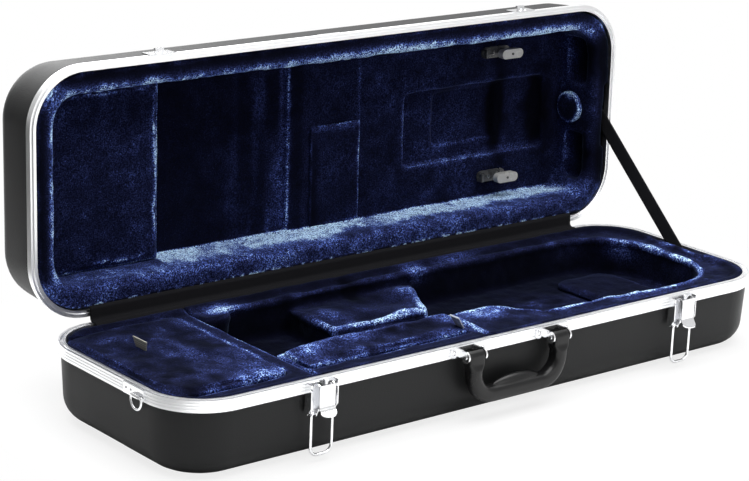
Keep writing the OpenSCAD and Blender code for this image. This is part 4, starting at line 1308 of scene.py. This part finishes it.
@dataclass
class Lining:
    """The plush-covered foam of the tray and the lid."""

    lid_light_and_shade: LidLightAndShade = field(default_factory=LidLightAndShade)
    tray_light_and_shade: TrayLightAndShade = field(default_factory=TrayLightAndShade)

    def build(self) -> None:
        """Makes every plush piece."""
        for form in self._tray_forms() + self._lid_forms():
            form.build()

    def _tray_forms(self) -> list[PlushForm]:
        """The base's lining, its boxes and their lids."""
        # spots of painted highlight, and of painted shade where the amount is below nothing
        tray_light = (
            Spot((352, 66, 66), (16, 26, 12), 0.34),  # back corner of the body well at the tail end
            Spot((300, 104, 66), (30, 14, 12), 0.16),  # back bolster's edge near the tail end
            Spot((205, 118, 80), (40, 8, 6), 0.14),  # back bolster's top behind the body well
            Spot((72, 104, 74), (16, 22, 14), 0.42),  # back bolster's corner at the body well's start
            Spot((135, 112, 78), (34, 10, 8), 0.35),  # back bolster's edge along the body well
            Spot((25, -58, 78), (40, 16, 10), 0.38),  # front bolster's nose beside the neck rest
            Spot((-60, 18, 58), (50, 14, 10), 0.2),  # neck rest's back hump, towards its hollow
            Spot((-86, 60, 66), (16, 14, 12), 0.32),  # back hump's end towards the scroll
            Spot((34, 78, 68), (14, 16, 12), 0.34),  # back hump's corner at the body well
            Spot((-195, 100, 80), (26, 12, 9), 0.65),  # back bolster's corner beside the scroll-end box
            Spot((-20, 60, 64), (70, 30, 12), 0.12),  # the whole top of the back hump
            Spot((-25, 92, 66), (10, 18, 30), -0.3),  # painted shade in the fold between hump and back bolster
        )
        tray_swell = (
            Spot((-195, 108, 80), (26, 12, 12), 2.5),  # back bolster's corner beside the scroll-end box
            Spot((-85, 62, 64), (24, 20, 16), 4.5),  # back hump, its end towards the scroll
            Spot((-50, 30, 64), (18, 14, 16), -3.5),  # a dip in its front edge
            Spot((-15, 24, 64), (26, 14, 16), 4.0),  # a lump in its front edge
            Spot((0, 66, 64), (24, 18, 16), -4.0),  # a dip in its top
            Spot((36, 82, 66), (20, 16, 18), 5.0),  # its back corner at the body well
            Spot((40, 40, 62), (18, 18, 16), 3.0),  # its front corner at the body well
            Spot((25, -60, 78), (44, 16, 12), 2.5),  # front bolster's nose
        )
        # spots of painted highlight
        end_lid_light = (
            Spot((-252, -20, 80), (5, 80, 8), 0.22),  # the edge towards the neck
            Spot((-275, -86, 80), (26, 9, 8), 0.3),  # the front corner of that edge
        )
        # spots of painted highlight
        side_lid_light = (
            Spot((-205, -62, 80), (16, 14, 10), 0.35),  # the end towards the scroll
            Spot((-110, -42, 80), (110, 7, 7), 0.4),  # the edge along the neck
            Spot((-25, -60, 80), (16, 14, 8), 0.25),  # the end towards the body well
        )
        side_lid_swell = (
            Spot((-185, -52, 80), (46, 14, 12), 5.5),  # three puffs along the neck's edge
            Spot((-100, -47, 80), (60, 12, 12), 5.0),
            Spot((-22, -52, 80), (30, 14, 12), 5.0),
        )
        return [
            PlushForm("tray_lining", ("tray_floor", "back_bolster", "front_bolster", "neck_rest"), Body.BASE,
                      seed=3, lump=1.6 * MM, crease=0.7 * MM, crest=1.8 * MM, mottle=1.1, raise_edge=4 * MM,
                      painted_light=self.tray_light_and_shade.light, light=tray_light, swell=tray_swell),
            PlushForm("heel_cushion", ("heel_pad",), Body.BASE, rounding=12, seed=5, level=0.13, crest_rub_and_highlight=0.4,
                      pressure=3.0, cap=2 * MM),
            PlushForm("scroll_end_lining", ("scroll_end_box",), Body.BASE, seed=9, level=0.2,
                      raise_edge=4 * MM),
            PlushForm("side_lining", ("side_box",), Body.BASE, seed=11, level=0.2, raise_edge=4 * MM),
            PlushForm("scroll_end_lid_pad", ("scroll_end_flap",), Body.SCROLL_END_LID, 2.0 * MM, seed=13,
                      level=0.24, mottle=1.1, lump=1.2 * MM, pressure=4.0, cap=2.5 * MM, held=0.1, crest_rub_and_highlight=0.3,
                      light=end_lid_light),
            PlushForm("side_lid_pad", ("side_flap",), Body.SIDE_LID, 1.8 * MM, seed=15, level=0.26,
                      mottle=1.1, lump=1.4 * MM, pressure=4.0, cap=3 * MM, held=0.1, crest_rub_and_highlight=0.45,
                      light=side_lid_light, swell=side_lid_swell),
        ]

    def _lid_forms(self) -> list[PlushForm]:
        """The lid's lining, its end pad, its pocket and the cushion on its tail wall."""
        # spots of painted highlight, and of painted shade where the amount is below nothing
        lid_light = (
            Spot((60, 146, 318), (90, 16, 14), 0.34),  # upper wall over the middle
            Spot((290, 146, 318), (70, 16, 14), 0.3),  # upper wall over the tail end
            Spot((272, 202, 218), (10, 14, 50), -0.5),  # painted shade in the ends of the bridge recess
            Spot((336, 200, 218), (14, 14, 50), -0.5),
            Spot((58, 196, 270), (1.6, 6, 40), 0.2),  # painted highlight along the crease above the pocket
            Spot((124, 200, 215), (3, 8, 42), 0.3),  # painted highlights on the bridge recess's edges
            Spot((300, 200, 171), (60, 8, 3), 0.15),
            Spot((335, 196, 205), (7, 9, 60), 0.12),
            Spot((374, 152, 283), (12, 14, 30), -0.45),  # painted shade in the hollows beside the tail cushion
            Spot((374, 152, 165), (12, 14, 30), -0.45),
            Spot((368, 182, 270), (10, 9, 36), 0.08),  # painted highlights on the ridges behind them
            Spot((368, 182, 165), (10, 9, 36), 0.08),
        )
        end_pad_light = (Spot((-221, 181, 240), (9, 12, 26), 0.45),)  # painted highlight on its edge towards the bay
        # spots of painted highlight, and of painted shade where the amount is below nothing
        pocket_light = (
            Spot((59, 191, 175), (2.5, 8, 58), 0.5),  # the edge towards the tail end
            Spot((25, 191, 229), (40, 8, 5), 0.2),  # the mouth
            Spot((-10, 191, 160), (8, 8, 80), -0.2),  # painted shade on the edge towards the bay
        )
        tail_light = (Spot((362, 172, 230), (8, 8, 6), 0.4),)  # painted highlight on its nose
        return [
            PlushForm("lid_lining", ("lid_floor_pad", "lid_wall_pad"), Body.LID, seed=17, lump=1.0 * MM,
                      crease=0.45 * MM, painted_light=self.lid_light_and_shade.light, mottle=0.5, light=lid_light),
            PlushForm("lid_end_cushion", ("lid_end_pad",), Body.LID, seed=19, rounding=7, level=0.26,
                      mottle=0.45, pressure=3.0, cap=2 * MM, light=end_pad_light),
            PlushForm("lid_pocket_pad", ("lid_pocket",), Body.LID, 1.8 * MM, rounding=4, seed=21, crest_rub_and_highlight=0.5,
                      shrink=0.0, lump=0.4 * MM, crease=0.15 * MM, level=0.2, mottle=0.4,
                      light=pocket_light),
            PlushForm("lid_tail_cushion", ("lid_cushion",), Body.LID, 1.4 * MM, rounding=8, seed=23,
                      level=0.2, crest_rub_and_highlight=1.3, lump=0.4 * MM, light=tail_light),
        ]


@dataclass
class Tape:
    """A flat woven tape: an oblong section with round edges, carried along a path in metres."""

    name: str
    width: float
    thickness: float
    finish: Webbing
    across_step: float = 1.6 * MM
    edge_share: float = 0.9

    def build(self, path: np.ndarray, face: np.ndarray, across: np.ndarray) -> bpy.types.Object:
        """Sweeps the section along the path.

        A point is the path's, plus the width across times a run from -1/2 to 1/2, plus the face's direction
        times half the thickness, rounded off at the two edges by the square root of one less the edge share
        of the run's fourth power, with the run then from -1 to 1.

        Args:
            path: the centre line, one row for each step.
            face: the direction that the tape's face looks in at each step.
            across: the direction of its width.

        Returns:
            The tape, with its map in metres along and across it.
        """
        columns = max(5, int(self.width / self.across_step))
        run = np.linspace(-1, 1, columns)
        edge = np.sqrt(1 - self.edge_share * run**4)
        ring = np.concatenate([np.stack([run, edge], 1), np.stack([run[::-1], -edge[::-1]], 1)])
        rows, count = len(path), len(ring)
        spots = (path[:, None] + across * (ring[None, :, :1] * self.width / 2)
                 + face[:, None] * (ring[None, :, 1:] * self.thickness / 2))
        half = np.arange(columns - 1)
        first = np.stack([half, count - 1 - half, count - 2 - half, half + 1], 1)
        last = first[:, ::-1] + (rows - 1) * count
        faces = np.concatenate([tube_faces(rows, count), first, last])
        piece = make_mesh(self.name, spots.reshape(-1, 3), faces)
        places = np.stack([np.repeat(distances(path), count), np.tile(ring[:, 0] * self.width / 2, rows)], 1)
        layer = piece.data.uv_layers.new(name="weave")
        layer.data.foreach_set("uv", places[corners_of(piece.data)].astype(np.float32).ravel())
        self._face_outwards(piece)
        dress(piece, self.finish)
        return piece

    @staticmethod
    def _face_outwards(piece: bpy.types.Object) -> None:
        """Turns every face outwards.

        Args:
            piece: the piece.
        """
        work = bmesh.new()
        work.from_mesh(piece.data)
        bmesh.ops.recalc_face_normals(work, faces=work.faces)
        work.to_mesh(piece.data)
        work.free()


def distances(line: np.ndarray) -> np.ndarray:
    """How far along a line each of its points lies."""
    return np.concatenate([[0], np.cumsum(lengths(np.diff(line, axis=0)))])


@dataclass
class Straps:
    """The webbing stay at the tail end, the cloth over the hinges and the two pull tabs.

    stay_end is how far the stay runs past the middle of each anchor, and stay_turn is not used. tuck and lap
    are the cloth's places behind the two linings, as distances along Y and Z: tuck's from its node's front
    and the base rim's top, lap's from its node's upper back edge.
    """

    stay_thickness: float = 1.4 * MM
    stay_end: float = 8 * MM
    stay_steps: int = 120
    stay_turn: Span = (30 * MM, 35 * MM)
    cover_thickness: float = 0.9 * MM
    cover_radius: float = 4 * MM
    cover_step: float = 1.0 * MM
    cover_columns: float = 3 * MM
    tuck: tuple[Span, ...] = ((-3 * MM, -4.5 * MM), (-1.8 * MM, -1.2 * MM))
    lap: tuple[Span, ...] = ((0.6 * MM, -1 * MM), (3.2 * MM, 1.5 * MM))

    def build(self) -> None:
        """Makes the tapes in the places of their nodes."""
        self._stay()
        self._cover()
        for node, finish in (("scroll_end_tab", END_TAB), ("side_tab", SIDE_TAB)):
            dress_node(node, finish)

    def _stay(self) -> None:
        """A taut tape along the straight line between the two anchors.

        Its width is that of a slanting strip of a known box: the box's depth less the run, over the slant.
        """
        anchors = ["stay_anchor_base", "stay_anchor_lid"]
        low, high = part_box("lid_stay")
        middle = (low.x + high.x) / 2
        ends = [np.array(sum(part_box(node), Vector())) / 2 for node in anchors]
        start, end = (np.array([middle, point[1], point[2]]) for point in ends)
        along = (end - start) / np.linalg.norm(end - start)
        start, end = start - along * self.stay_end, end + along * self.stay_end
        length = float(np.linalg.norm(end - start))
        path = start + (end - start) * np.linspace(0, 1, self.stay_steps)[:, None]
        face = np.tile([1.0, 0, 0], (len(path), 1))
        width = float((high.y - low.y - length * along[1]) / along[2])
        tape = Tape("lid_stay_tape", width, self.stay_thickness, TAPE)
        stay = tape.build(path, face, np.cross(along, [1.0, 0, 0]))
        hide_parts("lid_stay")
        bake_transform(stay)
        report(stay)

    def _cover(self) -> None:
        """Cloth from the base's lining over both rims to the lid's lining, turned up in a quarter circle."""
        low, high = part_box("hinge_cover")
        rim_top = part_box("base_rim")[1].z
        radius = self.cover_radius
        turn = np.linspace(0, math.pi / 2, 10)
        back, up = high.y - radius + radius * np.sin(turn), low.z + radius - radius * np.cos(turn)
        tuck = np.array([*(np.array(step) + (low.y, rim_top) for step in self.tuck),
                         (low.y, low.z + 0.2 * MM)])
        lap = np.array([np.array(step) + (high.y, high.z) for step in self.lap])
        profile = self._spaced(np.concatenate([tuck, np.stack([back, up], 1), lap]), self.cover_step)
        path = np.concatenate([np.zeros((len(profile), 1)), profile], 1)
        step = np.gradient(path, axis=0)
        face = np.cross(step / lengths(step), [1.0, 0, 0])
        width = high.x - low.x
        tape = Tape("hinge_cloth", width, self.cover_thickness, COVER, self.cover_columns)
        cover = tape.build(path, face, np.array([1.0, 0, 0]))
        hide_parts("hinge_cover")
        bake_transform(cover)
        length = float(lengths(np.diff(profile, axis=0)).sum())
        report(cover)

    @staticmethod
    def _spaced(line: np.ndarray, step: float) -> np.ndarray:
        """Spaces a line's points evenly along it.

        Args:
            line: the points, one row each.
            step: about how far apart the new points are.

        Returns:
            The new points.
        """
        along = distances(line)
        places = np.linspace(0, along[-1], max(2, int(along[-1] / step)))
        return np.stack([np.interp(places, along, part) for part in line.T], 1)


# ---- Stage ----


def frame_matrix(place: Triple, x: np.ndarray, y: np.ndarray, z: np.ndarray) -> Matrix:
    """The matrix of a frame with the given place and axes."""
    rows = np.eye(4)
    rows[:3] = np.column_stack([x, y, z, place])
    return Matrix(rows.tolist())


def unit(direction: np.ndarray) -> np.ndarray:
    """The direction at a length of 1."""
    return direction / np.linalg.norm(direction)


@dataclass(frozen=True)
class Lamp:
    """A square lamp that hangs at a place and faces a point, its power in watts."""

    name: str
    place: Triple
    aim: Triple
    size: float
    power: float

    def build(self) -> None:
        """Adds the lamp, its back pointing straight away from the point it faces."""
        light = bpy.data.lights.new(self.name, "AREA")
        light.shape, light.size, light.energy = "SQUARE", self.size, self.power
        lamp = bpy.data.objects.new(self.name, light)
        away = unit(np.array(self.place) - np.array(self.aim))
        side = unit(np.cross([0.0, 1.0, 0.0], away))
        lamp.matrix_world = frame_matrix(self.place, side, np.cross(away, side), away)
        bpy.context.scene.collection.objects.link(lamp)


@dataclass
class Studio:
    """The pale floor, the soft lamps and the camera.

    fill is the world's light, and left_wall and right_wall how bright the surroundings look in the case's
    gloss on either side, the one going over into the other along wall_change. Left of the case the floor
    goes dark over dark_from, for the gloss of the case's left end, and the camera sees it as white there.
    plain is the camera's share of plain white elsewhere.
    """

    eye: Triple = (-1.52715, -1.75642, 0.82721)
    right: Triple = (0.7769, -0.6285, 0.0380)
    down: Triple = (-0.1477, -0.2409, -0.9592)
    lens: float = 110.78
    sensor: float = 36.0
    shift: float = -0.0024
    clip: Span = (0.05, 50.0)
    floor_size: float = 12.0
    white: float = 0.9
    dark: float = 0.1
    dark_from: Span = (-0.64, -0.5)
    clear_from: Span = (-0.5, -0.44)
    shadow_half: Span = (0.62, 0.42)
    shadow_fade: Span = (0.55, 1.15)
    plain: float = 0.8
    fill: float = 0.18
    left_wall: float = 0.4
    right_wall: float = 0.8
    wall_change: Span = (-0.8, 0.0)
    lamps: tuple[Lamp, ...] = (
        Lamp("overhead", (0.1, 0.05, 1.9), (0.0, 0.05, 0.1), 2.4, 82.0),
        Lamp("front", (0.5, -2.6, 1.0), (0.0, 0.0, 0.1), 1.6, 12.0),
        Lamp("back", (0.3, 2.3, 1.3), (0.0, 0.1, 0.3), 1.8, 34.0),
    )

    def build(self) -> None:
        """Makes the stage, the lamps and the camera."""
        self._floor()
        self._world()
        for lamp in self.lamps:
            lamp.build()
        self._camera()
        bpy.context.scene.view_settings.view_transform = "Standard"

    def _floor(self) -> None:
        """A large pale floor that reads as white and keeps the case's shadow.

        To the camera it is mostly plain white near the case and wholly so further out: on the left, where
        the floor goes dark, and outside the shadow's oval. shadow_half holds the oval's two half lengths,
        and shadow_fade says over which shares of them the shadow fades out.
        """
        half = self.floor_size / 2
        corners = np.array([[-half, -half, 0], [half, -half, 0], [half, half, 0], [-half, half, 0]])
        floor = make_mesh("floor", corners, np.array([[0, 1, 2, 3]]), smooth=False)
        graph = Graph("floor_paint")
        across = graph.along_x(graph.position())
        dark, white = (rgb(level, level, level) for level in (self.dark, self.white))
        colour = graph.blend(graph.ramp(across, *self.dark_from), dark, white)
        paint = graph.node("ShaderNodeBsdfDiffuse", {}, {"Color": colour})
        glow = graph.node("ShaderNodeEmission", {}, {"Color": rgb(1, 1, 1), "Strength": 1.0})
        oval = (1 / self.shadow_half[0], 1 / self.shadow_half[1], 1.0)
        place = graph.position(oval)
        reach = graph.node("ShaderNodeVectorMath", {"operation": "LENGTH"}, {0: place}, "Value")
        clear = (graph.ramp(reach, *self.shadow_fade) + 1.0 - graph.ramp(across, *self.clear_from)).clamped()
        share = self._ray(graph, "Camera") * (self.plain + clear * (1 - self.plain))
        graph.end(graph.node("ShaderNodeMixShader", {}, {0: share, 1: paint, 2: glow}))
        floor.data.materials.append(graph.material)

    def _world(self) -> None:
        """Even dim light, white behind the case, and pale in its gloss but darker towards the left."""
        world = bpy.data.worlds.new("studio")
        bpy.context.scene.world = world
        graph = Graph("studio", world)
        direction = graph.node("ShaderNodeTexCoord", {}, {}, "Generated")
        rightwards = graph.ramp(graph.along_x(direction), *self.wall_change)
        mirrored = self.left_wall + rightwards * (self.right_wall - self.left_wall)
        level = self.fill + self._ray(graph, "Glossy") * (mirrored - self.fill)
        seen = (self._ray(graph, "Camera") + self._ray(graph, "Transmission")).clamped()
        strength = level + seen * (1.0 - level)
        back = graph.node("ShaderNodeBackground", {}, {"Color": rgb(1, 1, 1), "Strength": strength})
        graph.end(back, "ShaderNodeOutputWorld")

    @staticmethod
    def _ray(graph: Graph, kind: str) -> Value:
        """1 for rays of that kind, and 0 for others."""
        return graph.node("ShaderNodeLightPath", {}, {}, f"Is {kind} Ray")

    def _camera(self) -> None:
        """The camera before the case's front left corner, looking down and along it."""
        data = bpy.data.cameras.new("camera")
        data.lens, data.sensor_width = self.lens, self.sensor
        data.clip_start, data.clip_end = self.clip
        data.shift_y = self.shift
        camera = bpy.data.objects.new("camera", data)
        right, down = unit(np.array(self.right)), np.array(self.down)
        down = unit(down - right * (down @ right))
        camera.matrix_world = frame_matrix(self.eye, right, -down, np.cross(down, right))
        bpy.context.scene.collection.objects.link(camera)
        bpy.context.scene.camera = camera


def main() -> None:
    """Builds the case's looks in order."""
    logging.basicConfig(level=logging.INFO, format="%(name)s %(message)s")
    Studio().build()
    Shells().dress()
    Fittings().dress()
    Lining().build()
    Straps().build()
    bpy.context.view_layer.update()


if __name__ == "__main__":
    main()
